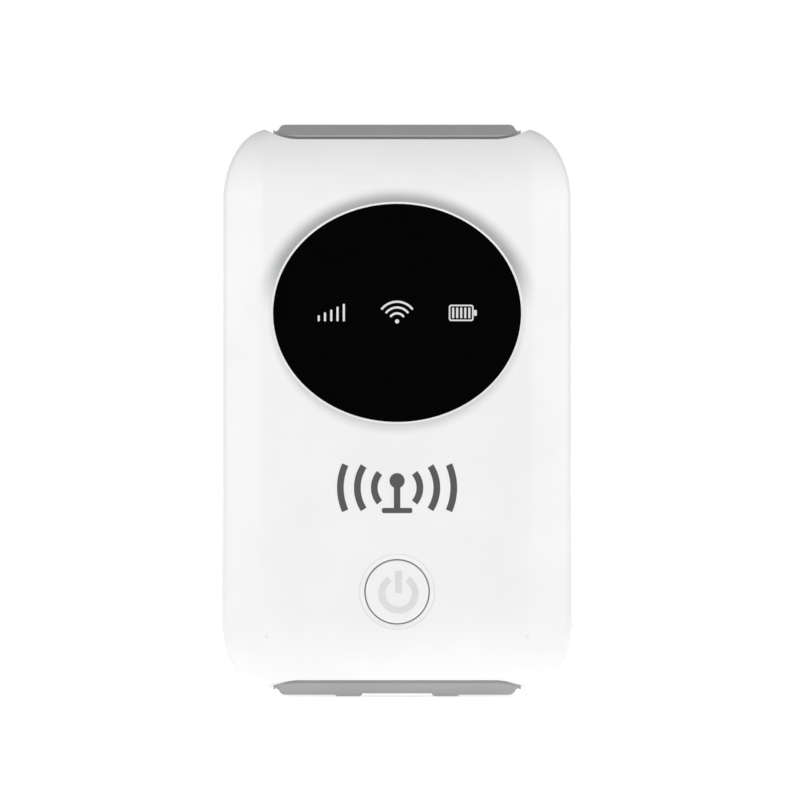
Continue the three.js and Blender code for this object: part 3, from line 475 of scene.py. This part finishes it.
def ink(name, level, glow=0.0):
    """Screen-printed ink with a slightly uneven film; `glow` gives it a faint painted glow of its own."""
    paint = Finish(name)
    film = paint.noise(0.6 * MM, 3)
    dots = paint.noise(0.12 * MM, 2)
    colour = paint.blend(film, grey(level * 0.93), grey(min(1, level * 1.05)))
    roughness = 0.42 + 0.16 * dots
    normal = paint.bump(dots, 0.004 * MM, 0.4)
    lit = {"Emission_Color": colour, "Emission_Strength": glow} if glow else {}
    return paint.done(Base_Color=colour, Roughness=roughness, Normal=normal,
                      Specular_IOR_Level=0.3, **lit)


def moulded(name, dark, light, roughness, grain_size=0.2 * MM):
    """Plain moulded plastic or rubber with a fine texture."""
    paint = Finish(name)
    grain = paint.noise(grain_size, 3, 0.6)
    cloud = paint.noise(4 * MM, 3)
    colour = paint.blend(cloud * 0.7 + grain * 0.3, dark, light)
    normal = paint.bump(grain, 0.02 * MM, 0.5)
    return paint.done(Base_Color=colour, Roughness=roughness + 0.15 * grain, Normal=normal)


def rolled_metal(name, dark, light, roughness, stretch=(1, 1, 18)):
    """Rolled or plated sheet, brushed along one way, a little tarnished."""
    paint = Finish(name)
    brush = paint.noise(0.5 * MM, 4, 0.6, stretch)
    tarnish = paint.noise(3 * MM, 4, 0.6)
    colour = paint.blend(tarnish, dark, light)
    shine = roughness + 0.12 * brush + 0.1 * tarnish.between(0.5, 0.8)
    normal = paint.bump(brush, 0.004 * MM, 0.5)
    return paint.done(Base_Color=colour, Roughness=shine, Metallic=1.0, Normal=normal)


def circuit_board():
    """Green solder mask over copper tracks and a plane, with tinned vias."""
    paint = Finish("circuit_board")
    x, y, z = paint.axes()
    layout = {"Vector": paint.node("ShaderNodeCombineXYZ", inputs={0: x, 1: z, 2: 0.0}),
              "Scale": 1 / (2.4 * MM), "Mortar Size": 0.045, "Mortar Smooth": 0.2,
              "Brick Width": 1.7, "Row Height": 0.5}
    mask_greens = {"Color1": (0.006, 0.085, 0.035), "Color2": (0.008, 0.11, 0.045),
                   "Mortar": (0.02, 0.2, 0.08)}
    track = paint.node("ShaderNodeTexBrick", inputs={**layout, **mask_greens}, output="Color")
    lines = paint.node("ShaderNodeTexBrick", inputs=layout, output="Fac")
    via = paint.cells(2.1 * MM)
    ring = (1 - via.between(0.1, 0.13)) * via.between(0.045, 0.06)
    weave = paint.noise(0.35 * MM, 2, 0.5, (1, 1, 4))
    colour = paint.blend(ring, track, (0.55, 0.56, 0.52))
    colour = paint.blend(weave.between(0.5, 0.8) * 0.2, colour, (0.03, 0.16, 0.07))
    roughness = 0.3 + 0.12 * weave - 0.05 * lines
    normal = paint.bump(lines + 0.2 * weave + ring, 0.02 * MM, 0.6)
    return paint.done(Base_Color=colour, Roughness=roughness, Metallic=ring * 0.8, Normal=normal)


def battery_sleeve():
    """Heat-shrunk sleeve with a band of paler ruled lines, and no lettering."""
    paint = Finish("battery_sleeve")
    x, y, z = paint.axes()
    wrinkle = paint.noise(6 * MM, 4, 0.6, (1, 1, 0.3))
    grain = paint.noise(0.25 * MM, 2)
    low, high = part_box("battery_cell")
    middle = (low.z + high.z) / 2
    band = (1 - (z - middle).size().between(7.8 * MM, 8.0 * MM)) * (y.over((low.y + high.y) / 2))
    rule = paint.node("ShaderNodeTexWave", {"bands_direction": "Z"},
                      {"Vector": paint.place(), "Scale": 1 / (9 * MM), "Distortion": 0.0}, "Fac")
    colour = paint.blend(wrinkle, (0.035, 0.037, 0.042), (0.055, 0.057, 0.062))
    colour = paint.blend(band * (0.65 + 0.3 * rule.over(0.62)), colour, (0.2, 0.21, 0.22))
    roughness = 0.32 + 0.12 * grain + 0.1 * wrinkle
    normal = paint.bump(wrinkle + 0.1 * grain, 0.06 * MM, 0.5)
    return paint.done(Base_Color=colour, Roughness=roughness, Normal=normal)


def open_foam():
    paint = Finish("open_foam")
    pores = paint.cells(0.45 * MM)
    cloud = paint.noise(5 * MM, 3)
    colour = paint.blend(pores.between(0.1, 0.5), (0.012, 0.012, 0.013), (0.05, 0.05, 0.052))
    colour = paint.blend(cloud.between(0.5, 0.8) * 0.3, colour, (0.07, 0.07, 0.072))
    normal = paint.bump(pores, 0.12 * MM, 0.8)
    return paint.done(Base_Color=colour, Roughness=0.92, Normal=normal)


def antenna_flex():
    """Amber film with copper showing through as long strips."""
    paint = Finish("antenna_flex")
    strip = paint.node("ShaderNodeTexWave", {"bands_direction": "Z"},
                       {"Vector": paint.place(), "Scale": 1 / (6 * MM), "Distortion": 0.0}, "Fac")
    copper = strip.between(0.3, 0.36)
    grain = paint.noise(0.4 * MM, 3)
    colour = paint.blend(copper, (0.32, 0.12, 0.02), (0.62, 0.29, 0.13))
    normal = paint.bump(copper + 0.2 * grain, 0.02 * MM, 0.5)
    return paint.done(Base_Color=colour, Roughness=0.28 + 0.15 * grain, Metallic=copper * 0.7,
                      Normal=normal)


# ---- Places taken from the CAD ----
shell_low, shell_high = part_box("front_shell")
cover_low, cover_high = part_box("rear_cover")
lens_low, lens_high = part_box("display_lens")
button_low, button_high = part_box("power_button")
frame_low, frame_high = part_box("middle_frame")
FRONT_Y = shell_low.y
BACK_Y = cover_high.y
COVER_Y = SEAM_Y + SEAM_GAP
HALF_X = shell_high.x
HALF_Z = (frame_high.z - frame_low.z - 2 * BAR_RISE - FOOT_RISE) / 2
MIDDLE_Z = frame_low.z + FOOT_RISE + BAR_RISE + HALF_Z
lens_centre = (lens_low + lens_high) / 2
LENS_X = (lens_high.x - lens_low.x) / 2
LENS_Z = (lens_high.z - lens_low.z) / 2


# ---- Shells ----

def pillow(name, inset, front):
    """One half of the case's outer form: a flat face whose rim rolls over evenly, drawn in by inset."""
    roll = (FRONT_ROLL if front else BACK_ROLL) - inset
    axes = Vector((CORNER.x - inset, roll, CORNER.z - inset))
    half_x = (HALF_X - CORNER.x) / axes.x + 1
    half_z = (HALF_Z - CORNER.z) / axes.z + 1
    sign = -1 if front else 1
    low, high = sorted((sign, -3 * sign))
    piece = block(name, (-half_x, low, -half_z), (half_x, high, half_z))
    choose(piece, "EDGE", lambda a, b: True)
    bpy.ops.mesh.bevel(offset=1, segments=22, profile=0.5, affect="EDGES", clamp_overlap=False)
    mode("OBJECT")
    piece.scale = axes
    piece.location = (0, FRONT_Y + FRONT_ROLL if front else BACK_Y - BACK_ROLL, MIDDLE_Z)
    return settle(piece)


def trimmed(piece, y, keep_front):
    """Cuts the piece flat across at y and keeps the front or the back of it."""
    choose(piece, "FACE", lambda middle, normal: True)
    bpy.ops.mesh.bisect(plane_co=(0, y, 0), plane_no=(0, 1, 0), use_fill=True,
                        clear_outer=keep_front, clear_inner=not keep_front)
    mode("OBJECT")
    return piece


def end_notch(side):
    """What the shells leave open for a bar: a flat floor with a ramp up at each end."""
    floor = HALF_Z - NOTCH_DEPTH
    horn_x = HALF_X - HORN_MARGIN
    ramp_x = horn_x - RAMP_RUN
    horn_z = (HALF_Z - CORNER.z) + CORNER.z * math.sqrt(1 - ((horn_x - HALF_X + CORNER.x) / CORNER.x) ** 2)
    rise = (horn_z - floor) * 1.5
    piece = block("notch", (-ramp_x, -30 * MM, floor), (ramp_x, 30 * MM, floor + 20 * MM))
    for hand in (-1, 1):
        choose(piece, "FACE", lambda middle, normal: normal.x * hand > 0.9)
        bpy.ops.mesh.extrude_region_move(
            TRANSFORM_OT_translate={"value": (hand * RAMP_RUN * 1.5, 0, rise)})
        mode("OBJECT")
    bevel_edges(piece, lambda a, b: abs(a.x - b.x) < 1e-6 and abs(a.z - floor) < 1e-6
                and abs(b.z - floor) < 1e-6, RAMP_BLEND, 8)
    piece.scale.z = side
    piece.location.z = MIDDLE_Z
    settle(piece)
    return tidy(piece)


def gap_lining(name, side, sunk):
    """The frame's wall behind the gap between a bar and the shells: a band along the notch."""
    band = end_notch(side)
    above = end_notch(side)
    above.location.z = side * GAP_LIFT
    settle(above)
    combine(band, above)
    band.location.z = side * GAP_SINK
    settle(named(band, name))
    keep = block("keep", (-GAP_REACH, FRONT_Y + sunk, -1), (GAP_REACH, BACK_Y - sunk, 1))
    return weigh_normals(tidy(combine(band, keep, "INTERSECT")))


def window_dish():
    """The rolled recess round the window: it leaves the face gently and steepens towards the lens."""
    depth = lens_low.y - FRONT_Y
    rim_x = LENS_X + LENS_GAP + LENS_LIP
    rim_z = LENS_Z + LENS_GAP + LENS_LIP
    rings = 14
    piece = disc("dish", (lens_centre.x, lens_low.y - 0.02 * MM, lens_centre.z), rim_x, 0.02 * MM, 128,
                 rim_z / rim_x)
    was = Vector((rim_x, 0, rim_z))
    risen, climbed = 0, 0
    steep = 0.8                             # 1 would end the roll upright at the lip
    full = 1 - math.sqrt(1 - steep ** 2)
    for i in range(1, rings + 1):
        out = (i / rings) ** 1.3
        now = Vector((rim_x + DISH_SIDE * out, 0, rim_z + DISH_END * out))
        climb = 1 - (1 - math.sqrt(1 - (steep * (1 - out)) ** 2)) / full
        rise = DISH_RISE * out
        lift = (climb - climbed) * (depth - 0.02 * MM)
        choose(piece, "FACE", lambda middle, normal: normal.y < -0.9)
        bpy.ops.mesh.extrude_region_move(TRANSFORM_OT_translate={"value": (0, -lift, rise - risen)})
        bpy.ops.transform.resize(value=(now.x / was.x, 1, now.z / was.z))
        mode("OBJECT")
        was, risen, climbed = now, rise, climb
    choose(piece, "FACE", lambda middle, normal: normal.y < -0.9)
    bpy.ops.mesh.extrude_region_move(TRANSFORM_OT_translate={"value": (0, -1 * MM, 0)})
    mode("OBJECT")
    return tidy(piece)


def front_shell():
    shell = trimmed(pillow("front_shell_smooth", 0, True), SEAM_Y, True)
    bevel_edges(shell, lambda a, b: abs(a.y - SEAM_Y) < 1e-6 and abs(b.y - SEAM_Y) < 1e-6, SEAM_BEVEL)
    combine(shell, pillow("inside", FRONT_WALL, True))
    ledge_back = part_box("lens_adhesive")[1].y + LEDGE_REACH
    ledge = disc("ledge", (lens_centre.x, FRONT_Y + PAST, lens_centre.z), LENS_X + LEDGE_MARGIN,
                 ledge_back - FRONT_Y - PAST, 96, LENS_Z / LENS_X)
    combine(shell, ledge, "UNION")
    for side in (-1, 1):
        combine(shell, end_notch(side))
    combine(shell, window_dish())
    seat = disc("seat", (lens_centre.x, lens_low.y - PAST, lens_centre.z), LENS_X + LENS_GAP,
                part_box("lens_adhesive")[1].y - lens_low.y + 1.05 * MM, 128,
                (LENS_Z + LENS_GAP) / (LENS_X + LENS_GAP))
    combine(shell, seat)
    opening = disc("opening", (lens_centre.x, FRONT_Y, lens_centre.z), LENS_X - LEDGE_WIDTH,
                   10 * MM, 96, (LENS_Z - LEDGE_WIDTH) / (LENS_X - LEDGE_WIDTH))
    combine(shell, opening)
    combine(shell, button_mouth())
    return weigh_normals(tidy(shell, 28))


button_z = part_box("power_switch")[0].z / 2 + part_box("power_switch")[1].z / 2


def button_mouth():
    """The button's hole with its shallow chamfer."""
    hole = BUTTON_R + BUTTON_GAP
    mouth = disc("mouth", (0, FRONT_Y + MOUTH_DEPTH, button_z), hole, 5 * MM)
    choose(mouth, "FACE", lambda middle, normal: normal.y < -0.9)
    bpy.ops.mesh.extrude_region_move(TRANSFORM_OT_translate={"value": (0, -MOUTH_DEPTH, 0)})
    wide = (hole + MOUTH_WIDTH) / hole
    bpy.ops.transform.resize(value=(wide, 1, wide))
    bpy.ops.mesh.extrude_region_move(TRANSFORM_OT_translate={"value": (0, -1 * MM, 0)})
    mode("OBJECT")
    return tidy(mouth)


def rear_cover():
    cover = trimmed(pillow("rear_cover_smooth", 0, False), COVER_Y, False)
    bevel_edges(cover, lambda a, b: abs(a.y - COVER_Y) < 1e-6 and abs(b.y - COVER_Y) < 1e-6,
                SEAM_BEVEL)
    combine(cover, pillow("inside", BACK_WALL, False))
    for side in (-1, 1):
        combine(cover, end_notch(side))
    for hand in (-1, 1):
        for step in (-1, 0, 1):
            combine(cover, clip(hand, step), "UNION")
    slot_low = (HALF_X - PRY_DEPTH, COVER_Y - PAST, PRY_LOW)
    slot = block("pry_slot", slot_low, (HALF_X + PAST, COVER_Y + PRY_HEIGHT, PRY_HIGH))
    bevel_edges(slot, lambda a, b: abs(a.x - b.x) > 1 * MM and a.y > COVER_Y, PRY_ROUND, 5)
    combine(cover, slot)
    return weigh_normals(tidy(cover, 28))


def clip(hand, step):
    """A snap tongue inside the side wall, with a small nib at its tip."""
    inner = HALF_X - FRONT_WALL - CLIP_PLAY - CLIP_THICKNESS
    outer = inner + CLIP_THICKNESS
    middle = MIDDLE_Z + step * CLIP_SPACING
    base, tip = COVER_Y + CLIP_ROOT, cover_low.y

    def bar(name, near, far, start, end):
        low_x, high_x = sorted((hand * near, hand * far))
        return block(name, (low_x, start, middle - CLIP_HALF), (high_x, end, middle + CLIP_HALF))

    tongue = bar("clip", inner, outer, tip, base)
    bevel_edges(tongue, lambda a, b: abs(a.y - b.y) > 1 * MM, 0.3 * MM, 3)
    root = bar("root", outer - CLIP_LAP, HALF_X - BACK_WALL / 2, COVER_Y + 0.05 * MM, base)
    combine(tongue, root, "UNION")
    nib = bar("nib", outer - CLIP_LAP, outer + NIB_RISE, tip, tip + NIB_HEIGHT)
    return combine(tongue, nib, "UNION")


# ---- Power button ----

def power_button():
    """A flat cap with a rounded rim, a flange behind the shell, and a stem to the switch."""
    face = button_low.y
    cap = disc("power_button_cap", (0, face, button_z), BUTTON_R, CAP_DEPTH, 96)
    bevel_edges(cap, lambda a, b: abs(a.y - face) < 1e-6 and abs(b.y - face) < 1e-6, CAP_ROUND, 5)
    choose(cap, "FACE", lambda middle, normal: normal.y > 0.9)
    flange_r = BUTTON_R + FLANGE_WIDTH
    wide = flange_r / BUTTON_R
    bpy.ops.mesh.extrude_region_move(TRANSFORM_OT_translate={"value": (0, STEP, 0)})
    bpy.ops.transform.resize(value=(wide, 1, wide))
    bpy.ops.mesh.extrude_region_move(TRANSFORM_OT_translate={"value": (0, FLANGE_THICKNESS, 0)})
    narrow = STEM_R / flange_r
    bpy.ops.mesh.extrude_region_move(TRANSFORM_OT_translate={"value": (0, STEP, 0)})
    bpy.ops.transform.resize(value=(narrow, 1, narrow))
    stem = button_high.y - face - CAP_DEPTH - FLANGE_THICKNESS - 2 * STEP
    bpy.ops.mesh.extrude_region_move(TRANSFORM_OT_translate={"value": (0, stem, 0)})
    mode("OBJECT")
    return weigh_normals(tidy(cap))


# ---- Printed signs ----

def bar_sign(name, centre, width, height, front, round_off=0.45):
    """An upright printed stroke with rounded corners."""
    x, z = centre
    low = (x - width / 2, front, z - height / 2)
    stroke = block(name, low, (x + width / 2, front + PRINT + INK_REACH, z + height / 2))
    return bevel_edges(stroke, lambda a, b: abs(a.y - b.y) > PRINT, width * round_off, 4)


def arc_sign(name, centre, radius, stroke, start, turn, front, steps=28):
    """A printed arc, from `start` through `turn` about Y; angles count from the top, clockwise."""
    x, z = centre
    depth = PRINT + INK_REACH
    bpy.ops.object.select_all(action="DESELECT")
    bpy.ops.mesh.primitive_plane_add(size=1, location=(x, front + depth / 2, z + radius),
                                     rotation=(0, math.pi / 2, 0))
    piece = named(bpy.context.object, name)
    piece.scale = (stroke, depth, 1)
    settle(piece)
    turned_by(piece, (x, front, z), start)
    choose(piece, "FACE", lambda middle, normal: True)
    bpy.ops.mesh.spin(steps=steps, angle=turn, center=(x, front, z), axis=(0, -1, 0))
    mode("OBJECT")
    return tidy(piece)


def turned_by(piece, centre, angle):
    """Turns a piece about an axis along Y through a point."""
    centre = Vector(centre)
    piece.location = -centre
    settle(piece)
    piece.rotation_euler.y = angle
    settle(piece)
    piece.location = centre
    return settle(piece)


def dot_sign(name, centre, radius, front):
    x, z = centre
    return disc(name, (x, front, z), radius, PRINT + INK_REACH, 32)


def signal_sign(front):
    """Five bars, rising."""
    x0, z0 = lens_centre.x - 13.4 * MM, lens_centre.z - ICON_DROP
    bars = []
    for i in range(5):
        height = (1.05 + 0.49 * i) * MM
        centre = (x0 + i * 1.073 * MM, z0 + height / 2)
        bars.append(bar_sign("signal_bar", centre, ICON_STROKE, height, front))
    return joined(bars, "signal_sign")


def wireless_sign(front):
    """A dot under three arcs."""
    centre = (lens_centre.x, lens_centre.z - ICON_DROP)
    pieces = [dot_sign("wireless_sign", centre, 0.36 * MM, front)]
    spread = math.radians(50)
    for radius in (1.38 * MM, 2.38 * MM, 3.36 * MM):
        arc = arc_sign("arc", centre, radius, ICON_STROKE, -spread, 2 * spread, front)
        for end in (-spread, spread):
            tip = (centre[0] + radius * math.sin(end), centre[1] + radius * math.cos(end))
            combine(arc, dot_sign("tip", tip, ICON_STROKE / 2, front), "UNION")
        pieces.append(arc)
    return joined(pieces, "wireless_sign")


def charge_sign(front):
    """A cell outline with a nub and five bars."""
    x, z = lens_centre.x + 10.97 * MM, lens_centre.z
    width, height, line = 4.24 * MM, 2.8 * MM, 0.26 * MM
    outline = bar_sign("charge_sign", (x, z), width, height, front, 0.1)
    cut_x, cut_z = width / 2 - line, height / 2 - line
    cut = block("inside_cut", (x - cut_x, front - PAST, z - cut_z),
                (x + cut_x, front + 2 * PAST, z + cut_z))
    bevel_edges(cut, lambda a, b: abs(a.y - b.y) > 1 * MM, 0.2 * MM, 4)
    combine(outline, cut)
    pieces = [outline, bar_sign("nub", (x + width / 2 + 0.3 * MM, z), 0.5 * MM, 1.0 * MM, front, 0.3)]
    bar_spacing, bar_width, bar_height = 0.69 * MM, 0.36 * MM, 1.82 * MM
    for i in range(-2, 3):
        pieces.append(bar_sign("bar", (x + i * bar_spacing, z), bar_width, bar_height, front, 0.3))
    return joined(pieces, "charge_sign")


def power_sign(front):
    """An open ring with an upright stroke."""
    x, z = 0.25 * MM, button_z - 0.28 * MM
    radius, line = 2.86 * MM, 1.18 * MM
    upright, upright_z = 3.8 * MM, z + 1.95 * MM
    gap = math.radians(32)
    ring = arc_sign("power_sign", (x, z), radius, line, gap, 2 * math.pi - 2 * gap, front, 56)
    stroke = bar_sign("stroke", (x, upright_z), line, upright, front, 0.08)
    return joined([ring, stroke], "power_sign")


def mast_sign(front):
    """A radio mast with three waves to each side."""
    z = 35.6 * MM
    mast = bar_sign("mast_sign", (0, z - 1.4 * MM), 1.1 * MM, 5.4 * MM, front, 0.2)
    combine(mast, dot_sign("head", (0, z + 1.4 * MM), 1.3 * MM, front), "UNION")
    combine(mast, bar_sign("foot", (0, z - 3.7 * MM), 5.2 * MM, 0.9 * MM, front, 0.06), "UNION")
    pieces = [mast]
    centre, line = (0, z + 0.2 * MM), 1.15 * MM
    for radius, spread in ((3.9 * MM, 40), (6.8 * MM, 33), (9.7 * MM, 24)):
        reach = math.radians(spread)
        for side in (math.pi / 2, -math.pi / 2):
            pieces.append(arc_sign("wave", centre, radius, line, side - reach, 2 * reach, front))
    return joined(pieces, "mast_sign")


# ---- Build the outside ----

white = gloss_white("gloss_white_shell", (lens_centre, LENS_X, LENS_Z))
plain_white = gloss_white("gloss_white_button", None)
shell = place(front_shell(), "case", white, "shell_white")
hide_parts("front_shell")
cover = place(rear_cover(), "cover", satin_white(), "cover_white")
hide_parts("rear_cover")

lens = disc("display_window", (lens_centre.x, lens_low.y, lens_centre.z), LENS_X,
            lens_high.y - lens_low.y, 128, LENS_Z / LENS_X)
bevel_edges(lens, lambda a, b: abs(a.y - b.y) < 1e-6, LENS_BEVEL, 3)
place(weigh_normals(tidy(lens)), "case", black_window(), "window_black")
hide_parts("display_lens")

cap = place(power_button(), "key", plain_white, "shell_white")
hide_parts("power_button")

# the pale icon ink gets a faint painted glow of its own
pale_ink = ink("pale_icon_ink", 0.66, 0.1)
sign_front = lens_low.y - PRINT
for sign in (signal_sign(sign_front), wireless_sign(sign_front), charge_sign(sign_front)):
    place(sign, "case", pale_ink, "window_black")
place(power_sign(button_low.y - PRINT), "key", ink("grey_button_ink", 0.7), "shell_white")
place(mast_sign(FRONT_Y - PRINT), "case", ink("dark_print_ink", 0.085), "shell_white")

grey_frame = matte_grey()
place(gap_lining("top_gap_lining", 1, TOP_GAP_DEPTH), "case", grey_frame, "frame_grey")
place(gap_lining("bottom_gap_lining", -1, BOTTOM_GAP_DEPTH), "case", grey_frame, "frame_grey")
tin = rolled_metal("tinplate_can", (0.5, 0.51, 0.52), (0.66, 0.66, 0.66), 0.26)
steel = rolled_metal("bright_steel", (0.42, 0.42, 0.43), (0.58, 0.58, 0.58), 0.22, (1, 12, 1))
gold = rolled_metal("gold_contact", (0.75, 0.5, 0.17), (0.88, 0.64, 0.27), 0.2, (6, 1, 1))
black = moulded("black_moulding", grey(0.012), grey(0.03), 0.45)
finishes = {
    "frame_grey": grey_frame,
    "tape": moulded("black_tape", grey(0.01), grey(0.025), 0.75, 0.4 * MM),
    "diffuser": moulded("milky_film", (0.78, 0.8, 0.81), (0.86, 0.87, 0.87), 0.5),
    "black_plastic": black,
    "led": moulded("lamp_resin", (0.82, 0.72, 0.3), (0.92, 0.85, 0.5), 0.25),
    "board": circuit_board(),
    "chip": moulded("chip_resin", grey(0.012), grey(0.024), 0.5, 0.12 * MM),
    "tinplate": tin,
    "steel": steel,
    "gold": gold,
    "sim_plastic": moulded("card_plastic", (0.82, 0.82, 0.8), (0.88, 0.88, 0.86), 0.35),
    "battery_wrap": battery_sleeve(),
    "foam": open_foam(),
    "flex": antenna_flex(),
}

# ---- Everything else: CAD nodes, most with their edges eased ----
slots = {part["node"]: part["material_slot"] for part in frame["record"]["subparts"]}
bodies = frame["record"]["behaviour"]["bodies"]
body_of_node = {node: body for body, nodes in bodies.items() for node in nodes}
done = {"front_shell", "rear_cover", "display_lens", "power_button"}
plain = {"lens_adhesive", "icon_diffuser", "main_antenna", "diversity_antenna", "wifi_antenna",
         "foam_pad"}
for node in sorted(set(frame["nodes"]) - done):
    finish = finishes[slots[node]]
    if node in plain:
        frame["nodes"][node].data.materials.clear()
        frame["nodes"][node].data.materials.append(finish)
    else:
        width = EDGE_BEVEL if node in ("middle_frame", "main_board") else FINE_BEVEL
        place(softened(node, width), body_of_node[node], finish, slots[node])

# ---- Stage ----
bpy.ops.object.select_all(action="DESELECT")
bpy.ops.mesh.primitive_plane_add(size=8, location=(0, 0, -0.02 * MM))
floor = named(bpy.context.object, "floor")
FLOOR_GLOW = 0.47                           # makes the floor come out as white as the backdrop
pale = Finish("pale_floor")
floor.data.materials.append(pale.done(Base_Color=pale.blend(pale.noise(0.4, 2), grey(0.93), grey(0.96)),
                                      Roughness=0.9, Emission_Color=grey(1.0),
                                      Emission_Strength=FLOOR_GLOW))

# A pale room: darker overhead and straight in front, with a dim band behind that outlines the case.
BRIGHTNESS = 1.54
world = bpy.data.worlds.new("studio")
bpy.context.scene.world = world
sky = Graph(world)
x, y, z = sky.parts(sky.node("ShaderNodeTexCoord", output="Generated"))
rise = z.between(-0.05, 0.95)
sides = 1.3 - 1.14 * rise
gap = 0.5 - 0.45 * rise
in_gap = (1 - x.size().between(0.22, 0.26)) * (1 - y.between(-0.1, 0.1))
rim = y.between(0.3, 0.42) * (1 - y.between(0.72, 0.85)) * (1 - z.size().between(0.5, 0.7))
behind = 1 - 0.16 * y.between(-0.1, 0.3)
light = (in_gap * gap + (1 - in_gap) * sides) * (1 - 0.75 * rim) * behind * BRIGHTNESS
seen = sky.node("ShaderNodeLightPath", output="Is Camera Ray")
backdrop = sky.node("ShaderNodeBackground", inputs={0: grey(1.0), 1: light * (1 - seen) + seen})
out = sky.tree.nodes.new("ShaderNodeOutputWorld")
sky.tree.links.new(backdrop.socket, out.inputs[0])


def softbox(name, position, aim, size, power):
    light = bpy.data.lights.new(name, "AREA")
    light.shape = "RECTANGLE"
    light.size, light.size_y = size
    light.energy = power
    lamp = bpy.data.objects.new(name, light)
    bpy.context.scene.collection.objects.link(lamp)
    lamp.location = position
    lamp.rotation_euler = (Vector(aim) - Vector(position)).to_track_quat("-Z", "Y").to_euler()
    lamp.visible_camera = False
    return lamp


subject = Vector((0, 0, 0.05))
softbox("top_light", (0.1, -0.5, 1.3), subject, (0.6, 0.5), 0.5)

# ---- Camera: square on to the front, from far away ----
camera_data = bpy.data.cameras.new("camera")
camera = bpy.data.objects.new("camera", camera_data)
bpy.context.scene.collection.objects.link(camera)
DISTANCE = 2.0
VIEW_WIDTH = 137.3 * MM
camera.location = (0.5 * MM, -DISTANCE, 50.8 * MM)
camera.rotation_euler = (math.pi / 2, 0, 0)
camera_data.sensor_width = 36
camera_data.lens = 36 * DISTANCE / VIEW_WIDTH
camera_data.clip_end = 50
camera_data.dof.use_dof = False
bpy.context.scene.camera = camera
bpy.context.scene.view_settings.view_transform = "Standard"
